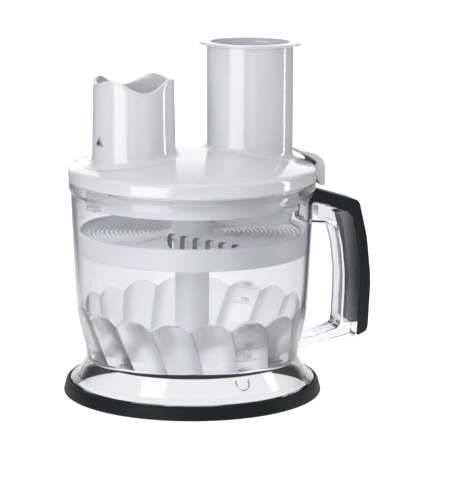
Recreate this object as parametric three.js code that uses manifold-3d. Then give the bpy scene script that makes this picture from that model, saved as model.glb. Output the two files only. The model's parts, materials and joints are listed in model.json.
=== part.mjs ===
// Food-processor bowl attachment: clear bowl with a channel handle, geared lid that takes a
// hand-held drive unit, and a shredding disc on a spinning column. Millimetres, +Z up.
// The model is built about the bowl's axis and then moved so that the origin is at the middle
// of the bounding box, on the surface that the rubber ring stands on.
import * as THREE from 'three';
import { mergeVertices } from 'three/addons/utils/BufferGeometryUtils.js';
import Module from 'manifold-3d';

const wasm = await Module();
wasm.setup();

// ---- Driving dimensions -------------------------------------------------------------------
const gap = 0.3; // between pieces that touch or rest on each other
const roundSegments = 54; // round the bowl, a whole number of steps to each flute

// Bowl
const bowlRadius = 84; // outside of the collar
const bowlHeight = 146.5; // rim above the table
const bowlWall = 2.3;
const collarHeight = 5.5;
const floorTop = 27;
const floorThickness = 3;
const waistRadius = 71.4;
const waistHeight = 25.7;
const fluteCount = 18;
const fluteTop = 62.6; // top of a flute at its middle
const fluteDepth = 1.8; // how far a flute bulges past the groove beside it
const fluteFootRadius = 65;
const fluteSwirl = 7.5; // degrees of turn from top to floor

// Base ring
const ringRadius = 88.6;
const ringHeight = 9;
const ringWidth = 9.1;
const footWall = 2.3; // clear foot edge held in the ring
const footEmbed = 6; // how deep that edge sits in the ring
const footInset = 4.3; // edge's outer face in from the ring's

// Handle
const handleWidth = 20;
const handleReach = 44.3; // grip's outermost point beyond the collar
const gripThickness = 7.3;
const channelDepth = 14.2; // clear channel behind the grip
const channelWall = 2.3;
const handleFoot = 30;
const ribDepth = 8; // black rib that goes down into the channel
const ribWidth = 11;

// Lid
const lidRimHeight = 8.9;
const lidWall = 2.5;
const domeRise = 11.5;
const housingRadius = 72;
const housingDrop = 15.5; // gear housing floor below the bowl's rim
const housingWall = 2.2;
const screwCircle = 61;
const screwAngles = [76, -80, 150, -150];
const screwRadius = 1.4;
const keyAngles = [-169, -49, 71]; // lugs round the gear housing's bottom edge
const keyWidth = 10;
const keyReach = 6;
const keyHeight = 3.5;

// Coupling tower
const towerRadius = 27;
const towerDraft = 1.3; // wider at its base by this much
const towerTop = 71.3; // crests above the bowl's rim
const towerWall = 2.5;
const footOverlap = 0.4; // tower's foot below the lowest part of the dome that it meets
const crestAngle = 39; // crests stand this far round from the line of the two towers
const longValley = 8;
const shortValley = 3;

// Feed tube
const tubeLong = 29.5;
const tubeShort = 25.5;
const tubeTurn = -35; // degrees, long axis from the line of the two towers
const tubeWall = 2.2;
const tubeInset = 1.95; // outer face of the tube in from the gear housing's
const tubeTop = 92; // above the bowl's rim
const tubeClear = 3; // bottom edge above the disc's rim
const flangeThickness = 2;
const flangeLip = 1.8;
const flangeTip = 4; // more than the lip, at the two pointed ends

// Gear train
const gearModule = 1;
const inputTeeth = 11;
const idlerLargeTeeth = 44;
const idlerSmallTeeth = 14;
const driverTeeth = 24;
const trainFold = 33; // degrees between the driver-to-idler line and the line of the towers
const lowGearHeight = 10;
const highGearHeight = 6;
const gearSpacing = 2; // between the idler's two sets of teeth
const trainClear = 0.44; // top of the train below the coupling tower's foot
const idlerBossIn = 0.6; // in modules, boss inside the roots of the small teeth
const idlerPinRadius = 2;
const inputShaftRadius = 3;
const driverShaftRadius = 5;
const bushWall = 1.7;
const bushFlange = 1; // thickness, and it sits on the boss round the bush
const bossWall = 3; // round a bush
const inputBossRise = 3; // above the dome

// Column, disc and insert
const stemRadius = 11.6;
const stemHex = 15; // across flats
const dogHex = 8;
const centrePinRadius = 3;
const centrePinLength = 34;
const discClear = 1; // between the disc's rim and the bowl
const discDrop = 33.5; // disc's rim below the bowl's rim
const discRimHeight = 15.1;
const discRimWall = 2;
const plateRecess = 3.4;
const plateThickness = 2.2;
const hubRadius = 14.6;
const insertTurn = -60.7; // degrees, the row of teeth
const insertOffset = 28; // row's distance from the axis
const insertInside = 8; // insert reaches this far in from the row of teeth
const insertOutside = 27.5; // and this far out from it
const insertLedge = 1; // ledge that the insert rests on
const insertEdge = 1.2; // disc left between the insert and the rim
const openingInside = 3.2; // opening for the teeth reaches this far in from their row
const openingOutside = 24; // and this far out, almost to the rim
const openingStraight = 3; // its near end runs straight out this far
const openingSkew = 24; // its outer edge starts this much further along the row
const openingEdge = 2.4; // insert left round the end of the opening
const toothCount = 6;
const toothPitch = 11.2;
const toothStart = 6.2;
const toothWidth = 3.4;
const toothRise = 4; // tips above the plate
const toothThickness = 0.9;
const bladeStrip = 2.6; // height of the strip that joins the teeth

// Interlock lever
const leverWidth = 24;
const leverWall = 1.8;
const leverReach = 8.6; // outer face beyond the collar
const leverPinOut = 3.9; // pin beyond the collar
const leverPinUp = 3.8; // pin above the bowl's rim
const leverPinRadius = 1.5;
const leverTail = 7.9; // below the bowl's rim
const leverHood = 17.3; // above the bowl's rim
const earWidth = 3;
const earInset = 5; // inner faces of the ears from the middle
const springWire = 0.8;
const springTurns = 5;

// ---- Geometry helpers ---------------------------------------------------------------------
const radians = THREE.MathUtils.degToRad;

// A solid from a closed geometry, with its shared corners merged.
function solid(geometry) {
  geometry.deleteAttribute('normal');
  geometry.deleteAttribute('uv');
  const merged = mergeVertices(geometry, 1e-4);
  const index = merged.index.array;
  const faces = [];
  for (let i = 0; i < index.length; i += 3) {
    const [a, b, c] = index.slice(i, i + 3);
    if (a !== b && b !== c && c !== a) faces.push(a, b, c);
  }
  return new wasm.Manifold(new wasm.Mesh({
    numProp: 3,
    vertProperties: new Float32Array(merged.attributes.position.array),
    triVerts: new Uint32Array(faces),
  }));
}

// A profile of [radius, height] points turned about Z, closed unless it ends on the axis.
// shape(point) may move each [x, y, z] corner before the solid is made.
function turned(profile, segments = roundSegments, shape = null) {
  let area = 0;
  profile.forEach(([r, z], i) => {
    const [r2, z2] = profile[(i + 1) % profile.length];
    area += r * z2 - r2 * z;
  });
  const points = area > 0 ? [...profile] : [...profile].reverse();
  const onAxis = points[0][0] === 0 && points.at(-1)[0] === 0;
  if (!onAxis) points.push(points[0]);
  const geometry = new THREE.LatheGeometry(points.map(([r, z]) => new THREE.Vector2(r, z)), segments);
  geometry.rotateX(Math.PI / 2);
  if (shape) {
    const place = geometry.attributes.position;
    for (let i = 0; i < place.count; i++) {
      place.setXYZ(i, ...shape([place.getX(i), place.getY(i), place.getZ(i)]));
    }
  }
  return solid(geometry);
}

const toShape = (outline) => new THREE.Shape(outline.map(([x, y]) => new THREE.Vector2(x, y)));

// An outline in the XY plane, raised from bottom to top.
function prism(outline, bottom, top) {
  const geometry = new THREE.ExtrudeGeometry(toShape(outline), { depth: top - bottom, bevelEnabled: false });
  geometry.translate(0, 0, bottom);
  return solid(geometry);
}

// An outline in the XZ plane, from y = near to y = far.
function slab(outline, near, far) {
  const geometry = new THREE.ExtrudeGeometry(toShape(outline), { depth: far - near, bevelEnabled: false });
  geometry.rotateX(Math.PI / 2);
  geometry.translate(0, far, 0);
  return solid(geometry);
}

// Points at equal steps round a closed curve, turned by an angle and moved.
function loop(radius, steps, centre = [0, 0], turn = 0) {
  return Array.from({ length: steps }, (_, i) => {
    const angle = (2 * Math.PI * i) / steps;
    const [x, y] = radius(angle);
    const [c, s] = [Math.cos(radians(turn)), Math.sin(radians(turn))];
    return [centre[0] + x * c - y * s, centre[1] + x * s + y * c];
  });
}

function circle(r, centre = [0, 0], steps = 32) {
  return loop((a) => [r * Math.cos(a), r * Math.sin(a)], steps, centre);
}
const hexagon = (flats) => circle(flats / Math.sqrt(3), [0, 0], 6);
const post = (r, bottom, top, centre = [0, 0], steps = 24) => prism(circle(r, centre, steps), bottom, top);
// A rod along Y at (x, z).
const rod = (r, near, far, [x, z], steps = 20) => slab(circle(r, [x, z], steps), near, far);

// Involute spur gear with short teeth, one tooth's middle at angle turn (degrees).
function gearOutline(teeth, centre, turn) {
  const pressure = radians(25);
  const pitch = (gearModule * teeth) / 2;
  const base = pitch * Math.cos(pressure);
  const halfAtPitch = (0.8 * Math.PI) / (2 * teeth);
  const involute = (a) => Math.tan(a) - a;
  const [root, tip] = [pitch - gearModule, pitch + 0.8 * gearModule];
  const radii = teeth > 20 ? [root, tip] : [root, pitch, tip]; // large gears have nearly straight flanks
  const flankTurn = (r) => involute(pressure) - involute(Math.acos(Math.min(1, base / r)));
  const half = radii.map((r) => halfAtPitch + flankTurn(r));
  const points = [];
  for (let i = 0; i < teeth; i++) {
    const middle = radians(turn) + (2 * Math.PI * i) / teeth;
    const flank = radii.map((r, k) => [r, half[k]]);
    const around = [...flank.map(([r, h]) => [r, -h]), ...flank.reverse().map(([r, h]) => [r, h])];
    for (const [r, h] of around) {
      points.push([centre[0] + r * Math.cos(middle + h), centre[1] + r * Math.sin(middle + h)]);
    }
  }
  return points;
}

// ---- Places worked out from the driving dimensions ----------------------------------------
const rim = bowlHeight;
const footRadius = ringRadius - footInset; // outside of the clear foot's edge
const wallOut = [ // outside of the bowl above its waist: [radius, height]
  [bowlRadius, rim],
  [bowlRadius, rim - collarHeight],
  [bowlRadius - 1.4, rim - collarHeight - 2],
  [bowlRadius - 2, rim - 24.5],
  [bowlRadius - 4, fluteTop + (rim - fluteTop) * 0.16],
  [bowlRadius - 5.4, fluteTop - 7.6],
  [bowlRadius - 9, waistHeight + 12.8],
  [waistRadius, waistHeight],
];
// Outside radius of the bowl at a height above its waist.
function wallRadius(z) {
  const i = wallOut.findIndex(([, h]) => h <= z);
  const [[r1, z1], [r0, z0]] = [wallOut[Math.max(1, i) - 1], wallOut[Math.max(1, i)]];
  return r0 + ((r1 - r0) * (z - z0)) / (z1 - z0);
}
const lidBottom = rim + gap;
const domeApex = lidBottom + lidRimHeight + domeRise;
const lidRadius = bowlRadius;
const domeEdge = lidRadius - 1.5;
const domeSphere = (domeEdge ** 2 + domeRise ** 2) / (2 * domeRise);
const domeTop = (r) => domeApex - domeSphere + Math.sqrt(domeSphere ** 2 - r ** 2);
const domeUnder = (r) => domeTop(r) - lidWall;
const housingBottom = rim - housingDrop;
const housingFloor = housingBottom + housingWall;
const discTop = rim - discDrop;
const discBottom = discTop - discRimHeight;
const discRadius = Math.min(wallRadius(discBottom), wallRadius(discTop)) - bowlWall - discClear;
const plateTop = discTop - plateRecess;
const plateBottom = plateTop - plateThickness;
const hubTop = housingBottom - 2;
const stemTop = hubTop - 2;

// Gear train: driver on the axis, idler folded to one side, input under the coupling tower.
const idlerArm = (gearModule * (driverTeeth + idlerSmallTeeth)) / 2;
const inputArm = (gearModule * (inputTeeth + idlerLargeTeeth)) / 2;
const idlerPlace = [-idlerArm * Math.cos(radians(trainFold)), idlerArm * Math.sin(radians(trainFold))];
const towerX = idlerPlace[0] - Math.sqrt(inputArm ** 2 - idlerPlace[1] ** 2);
const inputPlace = [towerX, 0];
const idlerBoss = gearModule * (idlerSmallTeeth / 2 - 1 - idlerBossIn); // inside the small teeth's roots
const towerFoot = domeUnder(Math.abs(towerX) + towerRadius) - footOverlap;
const highGearTop = towerFoot - trainClear;
const highGearBottom = highGearTop - highGearHeight;
const lowGearTop = highGearBottom - gearSpacing;
const lowGearBottom = lowGearTop - lowGearHeight;
const angleOf = ([x, y]) => THREE.MathUtils.radToDeg(Math.atan2(y, x));
const toIdler = angleOf(idlerPlace);
const toInput = angleOf([inputPlace[0] - idlerPlace[0], inputPlace[1] - idlerPlace[1]]);

// Feed tube stands against the inside of the gear housing.
const tubeX = housingRadius - tubeInset - gap - Math.hypot(
  tubeLong * Math.cos(radians(tubeTurn)),
  tubeShort * Math.sin(radians(tubeTurn)),
);
const oval = (more, steps = 48, tip = 0) => loop((a) => {
  const lip = more + tip * Math.abs(Math.cos(a)) ** 6;
  return [(tubeLong + lip) * Math.cos(a), (tubeShort + lip) * Math.sin(a)];
}, steps, [tubeX, 0], tubeTurn);
const tubeBottom = discTop + tubeClear;

const driverBore = driverShaftRadius + 2 * gap + bushWall;
const inputBore = inputShaftRadius + 2 * gap + bushWall;
const inputBossTop = domeTop(towerX) + inputBossRise;
const driverBossTop = lowGearBottom - bushFlange - 2 * gap;
const leverPin = [bowlRadius + leverPinOut, rim + leverPinUp];

// ---- Pieces -------------------------------------------------------------------------------
// Inside of the bowl: a plain wall above, swirled flutes below that swell inwards.
function bowlCavity() {
  const slope = (wallRadius(fluteTop) - bowlWall - fluteFootRadius) / (fluteTop - floorTop);
  const rings = [0, 0.5, 0.83, 0.93, 1].map((t) => {
    const rise = t * (fluteTop - floorTop);
    return [fluteFootRadius + slope * rise, floorTop + rise];
  });
  const upper = wallOut.filter(([, z]) => z > fluteTop + 2 && z < rim - collarHeight).reverse();
  const profile = [
    [0, floorTop],
    ...rings,
    ...upper.map(([r, z]) => [r - bowlWall, z]),
    [bowlRadius - 1.4 - bowlWall, rim + 1],
    [0, rim + 1],
  ];
  const step = 360 / fluteCount;
  return turned(profile, roundSegments, ([x, y, z]) => {
    const r = Math.hypot(x, y);
    if (r < 1 || z > fluteTop) return [x, y, z];
    const angle = angleOf([x, y]);
    const across = (((angle - step / 2) % step) + step) % step; // 0 and step are grooves
    const u = Math.min(across, step - across) / (step / 2); // 0 in a groove, 1 mid-flute
    const limit = wallRadius(z) - bowlWall;
    const radius = Math.min(limit, r + fluteDepth * (1 - u) ** 2);
    const turn = radians(angle + (fluteSwirl * (fluteTop - z)) / (fluteTop - floorTop));
    return [radius * Math.cos(turn), radius * Math.sin(turn), z];
  });
}

// Handle heights run from its foot to where the grip turns in to the bowl.
const handleHead = rim - 20;
const alongHandle = (t) => handleFoot + t * (handleHead - handleFoot);
// The side of the grip that meets the channel, from the bowl down to the foot.
const seam = (shift) => [
  [bowlRadius - shift, rim - 19.2],
  [bowlRadius + 13, rim - 22.3],
  [bowlRadius + 27.2 - shift, rim - 28],
  [bowlRadius + 30.3 - shift, rim - 30.5],
  [bowlRadius + 33.4 - shift, alongHandle(0.77)],
  [bowlRadius + handleReach - gripThickness - shift, alongHandle(0.44)],
  [bowlRadius + 34.6 - shift, handleFoot],
];

function channelSolid() {
  const inner = bowlRadius + handleReach - gripThickness - channelDepth;
  const outline = [
    [bowlRadius - 4.5, rim - 19.2 - gap],
    ...seam(gap).slice(1).map(([x, z]) => [x, z - gap]),
    [bowlRadius + 0.6, waistHeight - 1.8],
    [waistRadius + 2, waistHeight - 4.7],
    [waistRadius - 3, waistHeight - 1],
    [waistRadius - 1, waistHeight + 5],
    [bowlRadius + 1.8, waistHeight + 6.8],
    [inner - 1.2, alongHandle(0.08)],
    [inner, alongHandle(0.33)],
    [inner, alongHandle(0.49)],
    [inner - 2, alongHandle(0.68)],
    [inner - 5.9, alongHandle(0.83)],
    [bowlRadius - 4.5, rim - 34],
  ];
  const pocket = [
    [bowlRadius + 5, rim - 10],
    [bowlRadius + 5, rim - 34 + channelWall],
    [inner - 5.9 + channelWall, alongHandle(0.83) + channelWall],
    [inner - 2 + channelWall, alongHandle(0.68)],
    [inner + channelWall, alongHandle(0.49)],
    [inner + channelWall, alongHandle(0.33)],
    [inner - 1.2 + channelWall, alongHandle(0.08) + channelWall],
    [bowlRadius + handleReach, alongHandle(0.08) + channelWall],
    [bowlRadius + handleReach + 5, rim - 10],
  ];
  const half = handleWidth / 2;
  return slab(outline, -half, half).subtract(slab(pocket, channelWall - half, half - channelWall));
}

function bowl() {
  const inFoot = footRadius - footWall;
  const footBottom = ringHeight - footEmbed;
  const outside = [
    [0, floorTop - floorThickness],
    [waistRadius - footWall, floorTop - floorThickness],
    [waistRadius + 2.8, waistHeight - 9.2],
    [waistRadius + 5.6, waistHeight - 14.2],
    [inFoot, ringHeight - 0.4],
    [inFoot, footBottom],
    [footRadius, footBottom],
    [footRadius, ringHeight + 0.3],
    [waistRadius + 7.6, waistHeight - 13],
    [waistRadius + 5.1, waistHeight - 8.7],
    ...[...wallOut].reverse(),
    [0, rim],
  ];
  const boss = post(centrePinRadius + 4, floorTop - 1, floorTop + 3);
  const socket = post(centrePinRadius + gap, floorTop - 1.5, floorTop + 4);
  const underFloor = turned([
    [0, 0],
    [inFoot, 0],
    [inFoot, ringHeight - 0.4],
    [waistRadius + 5.6, waistHeight - 14.2],
    [waistRadius + 2.8, waistHeight - 9.2],
    [waistRadius - footWall, floorTop - floorThickness],
    [0, floorTop - floorThickness],
  ]);
  const hollowed = turned(outside).add(channelSolid()).subtract(bowlCavity()).subtract(underFloor);
  return hollowed.add(boss).subtract(socket);
}

function baseRing() {
  const inner = footRadius - footWall - gap;
  const footBottom = ringHeight - footEmbed;
  return turned([
    [ringRadius - ringWidth, 0],
    [ringRadius, 0],
    [ringRadius, 0.8],
    [ringRadius - 1.8, ringHeight - 0.9],
    [ringRadius - 2.6, ringHeight],
    [footRadius + gap, ringHeight],
    [footRadius + gap, footBottom - gap],
    [inner, footBottom - gap],
    [inner, ringHeight - 1.5],
    [ringRadius - ringWidth, ringHeight - 1.5],
  ]);
}

function handleGrip() {
  const back = [
    [bowlRadius + 41.7, handleFoot + 3.2],
    [bowlRadius + 42.8, alongHandle(0.07)],
    [bowlRadius + handleReach, alongHandle(0.38)],
    [bowlRadius + handleReach - 0.3, alongHandle(0.47)],
    [bowlRadius + 41.3, alongHandle(0.73)],
    [bowlRadius + 35.8, handleHead - 2.5],
    [bowlRadius + 34.2, handleHead],
    [bowlRadius - 0.4, rim - 9.1],
  ];
  const half = handleWidth / 2;
  const shell = slab([...seam(0), ...back], -half, half);
  const straight = (shift) => seam(shift).slice(2, 6);
  const rib = slab([...straight(ribDepth), ...straight(-1).reverse()], -ribWidth / 2, ribWidth / 2);
  return shell.add(rib);
}

function wavyTower() {
  const top = rim + towerTop;
  const profile = [
    [towerRadius + towerDraft, towerFoot],
    [towerRadius, top],
    [towerRadius - towerWall, top],
    [towerRadius + towerDraft - towerWall, towerFoot],
  ];
  return turned(profile, 56, ([x, y, z]) => {
    if (z < top - 1) return [x + towerX, y, z];
    const fromLine = Math.abs(((angleOf([x, y]) + 270) % 180) - 90); // 0 on the line, 90 across it
    const long = (180 - 2 * crestAngle) / 2;
    const dip = fromLine < crestAngle
      ? (shortValley * (1 + Math.cos((Math.PI * fromLine) / crestAngle))) / 2
      : (longValley * (1 - Math.cos((Math.PI * (fromLine - crestAngle)) / long))) / 2;
    return [x + towerX, y, z - dip];
  });
}

function screwPlaces() {
  return screwAngles.map((a) => [screwCircle * Math.cos(radians(a)), screwCircle * Math.sin(radians(a))]);
}

function lidCover() {
  const arc = (under, edge) => Array.from({ length: 5 }, (_, i) => {
    const r = (edge * (4 - i)) / 4;
    return [r, under ? domeUnder(r) : domeTop(r)];
  });
  const inEdge = lidRadius - lidWall;
  const shell = turned([
    ...arc(true, inEdge - 1.5).reverse(),
    [inEdge, domeUnder(inEdge) - 1.5],
    [inEdge, lidBottom],
    [lidRadius, lidBottom],
    [lidRadius, lidBottom + lidRimHeight - 1.9],
    ...arc(false, domeEdge),
  ]);
  let lid = shell.add(wavyTower());
  lid = lid.add(prism(oval(0), tubeBottom, rim + tubeTop - flangeThickness));
  lid = lid.add(prism(oval(flangeLip, 48, flangeTip), rim + tubeTop - flangeThickness, rim + tubeTop));
  lid = lid.add(post(inputBore + bossWall, highGearTop + 1, inputBossTop, inputPlace));
  for (const place of screwPlaces()) {
    lid = lid.add(post(screwRadius + 2.8, housingFloor + gap, domeUnder(screwCircle) + 1, place, 16));
  }
  for (const side of [-1, 1]) {
    const near = side > 0 ? earInset : -earInset - earWidth;
    const ear = [
      [lidRadius - 1, lidBottom + 0.2],
      [leverPin[0] + 2, lidBottom + 0.2],
      [leverPin[0] + 2.6, leverPin[1]],
      [leverPin[0] + 1.8, leverPin[1] + 2.8],
      [lidRadius - 1, leverPin[1] + 2.8],
    ];
    lid = lid.add(slab(ear, near, near + earWidth));
  }
  lid = lid.subtract(prism(oval(-tubeWall), tubeBottom - 1, rim + tubeTop + 1));
  lid = lid.subtract(post(inputBore, highGearTop, domeApex + 9, inputPlace));
  for (const place of screwPlaces()) {
    lid = lid.subtract(post(screwRadius + gap, housingFloor - 1, housingFloor + 13, place, 16));
  }
  return lid.subtract(rod(leverPinRadius + gap, -leverWidth, leverWidth, leverPin));
}

function gearCover() {
  let cover = turned([
    [0, housingBottom],
    [housingRadius, housingBottom],
    [housingRadius, domeUnder(housingRadius) - gap],
    [housingRadius - housingWall, domeUnder(housingRadius) - gap],
    [housingRadius - housingWall, housingFloor],
    [0, housingFloor],
  ]);
  cover = cover.add(post(idlerPinRadius + gap + 2.5, housingBottom + 0.5, lowGearBottom - 1, idlerPlace));
  cover = cover.add(post(driverBore + bossWall, housingBottom + 0.5, driverBossTop));
  const key = [
    [housingRadius - 1, -keyWidth / 2],
    [housingRadius + keyReach, -keyWidth / 2],
    [housingRadius + keyReach, keyWidth / 2],
    [housingRadius - 1, keyWidth / 2],
  ];
  for (const angle of keyAngles) {
    cover = cover.add(prism(key, housingBottom, housingBottom + keyHeight).rotate([0, 0, angle]));
  }
  cover = cover.subtract(prism(oval(gap), housingBottom - 1, domeApex));
  cover = cover.subtract(post(driverBore, housingBottom - 1, lowGearBottom));
  cover = cover.subtract(post(idlerPinRadius + gap, housingBottom + 1, lowGearBottom, idlerPlace));
  for (const place of screwPlaces()) {
    cover = cover.subtract(post(screwRadius + gap, housingBottom - 1, housingFloor + 1, place, 16));
  }
  return cover;
}

function screw(place) {
  const head = post(3, housingBottom - 1.8, housingBottom - gap, place, 16);
  return head.add(post(screwRadius, housingBottom - 1, housingFloor + 12, place, 12));
}

function motorCoupling() {
  const seat = inputBossTop + bushFlange + 2 * gap;
  const cup = post(8, seat, seat + 12, inputPlace);
  const shaft = post(inputShaftRadius, highGearBottom + 0.5, seat + 1, inputPlace);
  return cup.add(shaft).subtract(prism(circle(5, inputPlace, 6), seat + 4, seat + 13));
}

function inputPinion() {
  return prism(gearOutline(inputTeeth, inputPlace, toInput + 180), highGearBottom, highGearTop)
    .subtract(post(inputShaftRadius + gap / 2, highGearBottom - 1, highGearTop + 1, inputPlace));
}

function idlerGear() {
  const largeTeeth = gearOutline(idlerLargeTeeth, idlerPlace, toInput + 180 / idlerLargeTeeth);
  const smallTeeth = gearOutline(idlerSmallTeeth, idlerPlace, toIdler + 180 + 180 / idlerSmallTeeth);
  const large = prism(largeTeeth, highGearBottom, highGearTop);
  const small = prism(smallTeeth, lowGearBottom, lowGearTop);
  return large.add(small).add(post(idlerBoss, lowGearBottom, highGearTop, idlerPlace))
    .subtract(post(idlerPinRadius + gap, lowGearBottom - 1, highGearTop + 1, idlerPlace));
}

function driverGear() {
  const gear = prism(gearOutline(driverTeeth, [0, 0], toIdler), lowGearBottom, lowGearTop);
  const shaft = post(driverShaftRadius, housingBottom - 0.6, lowGearBottom + 1);
  return gear.add(shaft).add(prism(hexagon(dogHex), stemTop - 9, housingBottom));
}

// A bush for a shaft, with a flange on top of the boss that holds it.
function bush(shaft, bottom, bossTop, place) {
  const outer = shaft + gap + bushWall;
  const seat = bossTop + gap;
  const top = seat + bushFlange;
  return post(outer, bottom, top, place).add(post(outer + 2, seat, top, place))
    .subtract(post(shaft + gap, bottom - 1, top + 1, place));
}

function driveStem() {
  const bottom = floorTop + gap * 2;
  const column = post(stemRadius, bottom, discBottom - gap, [0, 0], 36);
  const boss = post(centrePinRadius + 4 + 0.6, bottom - 1, floorTop + 3 + gap);
  const bore = post(centrePinRadius + gap, bottom - 1, floorTop + centrePinLength + 1);
  return column.add(prism(hexagon(stemHex), bottom + 20, stemTop)).subtract(boss).subtract(bore)
    .subtract(prism(hexagon(dogHex + 2 * gap), stemTop - 11, stemTop + 1));
}

// The insert's outline in the disc, shrunk or grown by an amount.
function insertOutline(grow, bottom, top) {
  const near = insertOffset - insertInside - grow;
  const far = insertOffset + insertOutside + grow;
  const start = -1 - grow;
  const box = prism([[start, near], [discRadius, near], [discRadius, far], [start, far]], bottom, top);
  const edge = post(discRadius - discRimWall - insertEdge + grow, bottom, top, [0, 0], 60);
  return box.intersect(edge).scale([1, -1, 1]).rotate([0, 0, insertTurn]);
}

function insertCarrier() {
  const inner = discRadius - discRimWall;
  const disc = turned([
    [0, discBottom],
    [hubRadius - 1.5, discBottom],
    [hubRadius - 1.5, plateBottom],
    [inner, plateBottom],
    [inner, discBottom],
    [discRadius, discBottom],
    [discRadius, discTop],
    [inner, discTop],
    [inner, plateTop],
    [hubRadius, plateTop],
    [hubRadius - 2, plateTop + 10],
    [hubRadius - 4, hubTop],
    [0, hubTop],
  ]);
  return disc.subtract(prism(hexagon(stemHex + 2 * gap), discBottom - 1, hubTop + 1))
    .subtract(insertOutline(gap, plateTop - 1, plateTop + 2))
    .subtract(insertOutline(gap - insertLedge, plateBottom - 1, plateTop));
}

const toothPlaces = Array.from({ length: toothCount }, (_, i) => toothStart + i * toothPitch);
// A solid drawn along the row of teeth, set into its place on the disc.
const onRow = (body) => body.scale([1, -1, 1]).rotate([0, 0, insertTurn]);

// A long slanted opening outside the row, which the teeth come up through.
function insertFrame() {
  const first = toothStart - toothWidth;
  const last = toothPlaces.at(-1) + toothWidth;
  const opening = [
    [first, insertOffset - openingInside],
    [last, insertOffset - openingInside],
    [last, insertOffset + openingOutside],
    [first + openingSkew, insertOffset + openingOutside],
    [first, insertOffset + openingStraight],
  ];
  const rimSide = discRadius - discRimWall - insertEdge - openingEdge;
  const edge = post(rimSide, plateBottom - 1, plateTop + 2, [0, 0], 60);
  return insertOutline(0, plateTop - 1 + gap, plateTop + 0.2)
    .add(insertOutline(-insertLedge, plateBottom + 0.2, plateTop - 0.5))
    .subtract(onRow(prism(opening, plateBottom - 1, plateTop + 2)).intersect(edge));
}

// A comb: an upright strip under the plate, with teeth that rise and bend over inwards.
function shreddingBlade() {
  const low = discBottom + 1;
  const outer = insertOffset + 2;
  const inner = outer - toothThickness;
  const reach = toothPlaces.at(-1) + toothWidth / 2;
  const strip = [
    [toothStart - toothWidth / 2, inner],
    [reach, inner],
    [reach, outer],
    [toothStart - toothWidth / 2, outer],
  ];
  let blade = prism(strip, low, low + bladeStrip);
  const tip = plateTop + toothRise;
  const tooth = [
    [inner, low + 0.5],
    [outer, low + 0.5],
    [outer, tip - 2.6],
    [outer - 0.8, tip - 0.8],
    [outer - 2.6, tip],
    [outer - 4.6, tip - 0.6],
    [outer - 4.4, tip - 1.1],
    [outer - 2.6, tip - toothThickness],
    [inner - 0.5, tip - 1.5],
    [inner, tip - 3],
  ];
  // Drawn with x across the row, then laid along it.
  for (const u of toothPlaces) {
    blade = blade.add(slab(tooth, -u - toothWidth / 2, -u + toothWidth / 2).rotate([0, 0, 90]));
  }
  return onRow(blade);
}

function interlockLever() {
  const face = bowlRadius + leverReach;
  const outer = [
    [face - leverWall * 2, rim - leverTail],
    [face, rim - leverTail],
    [face, rim + 6.5],
    [face - 1.6, rim + 10.5],
    [face - 7, rim + 14.6],
    [face - 18, rim + leverHood],
    [face - 18.4, rim + leverHood - 2],
    [face - 12, rim + 13],
    [face - 6, rim + 8.6],
    [face - 7, leverPin[1] + 3.2],
    [face - 7, rim + 0.5],
  ];
  const hollow = [
    [face - 40, rim - leverTail - 1],
    [face - leverWall, rim - leverTail - 1],
    [face - leverWall, rim + 6],
    [face - 3.8, rim + 9],
    [face - 8.4, rim + 12.4],
    [face - 17, rim + leverHood - 2.8],
    [face - 40, rim + leverHood - 2.8],
  ];
  const half = leverWidth / 2;
  const body = slab(outer, -half, half).subtract(slab(hollow, leverWall - half, half - leverWall));
  return body.subtract(rod(leverPinRadius + gap, -leverWidth, leverWidth, leverPin));
}

function interlockSpring() {
  const mean = leverPinRadius + gap + springWire / 2;
  const length = 2 * (earInset - 1);
  class Coil extends THREE.Curve {
    getPoint(t) {
      const a = 2 * Math.PI * springTurns * t;
      const [x, z] = [leverPin[0] + mean * Math.cos(a), leverPin[1] + mean * Math.sin(a)];
      return new THREE.Vector3(x, length * (t - 0.5), z);
    }
  }
  const wire = toShape(circle(springWire / 2, [0, 0], 6));
  const shape = { steps: springTurns * 10, extrudePath: new Coil(), bevelEnabled: false };
  return solid(new THREE.ExtrudeGeometry(wire, shape));
}

// ---- Assembly -----------------------------------------------------------------------------
const finishes = {
  clear: { color: 0xe9eff1, roughness: 0.05, metalness: 0 },
  white: { color: 0xe6e5ea, roughness: 0.22, metalness: 0 },
  black: { color: 0x22262a, roughness: 0.42, metalness: 0 },
  rubber: { color: 0x1e2224, roughness: 0.62, metalness: 0 },
  gearPlastic: { color: 0xd9d4c4, roughness: 0.4, metalness: 0 },
  steel: { color: 0xb9bcc0, roughness: 0.3, metalness: 1 },
  brass: { color: 0xb08d4a, roughness: 0.35, metalness: 1 },
};

const assembly = new THREE.Group();

function place(name, body, finish) {
  const made = body.getMesh();
  const geometry = new THREE.BufferGeometry();
  geometry.setAttribute('position', new THREE.BufferAttribute(new Float32Array(made.vertProperties), 3));
  geometry.setIndex(new THREE.BufferAttribute(new Uint32Array(made.triVerts), 1));
  geometry.computeVertexNormals();
  const mesh = new THREE.Mesh(geometry, new THREE.MeshStandardMaterial(finishes[finish]));
  mesh.name = name;
  assembly.add(mesh);
}

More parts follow.
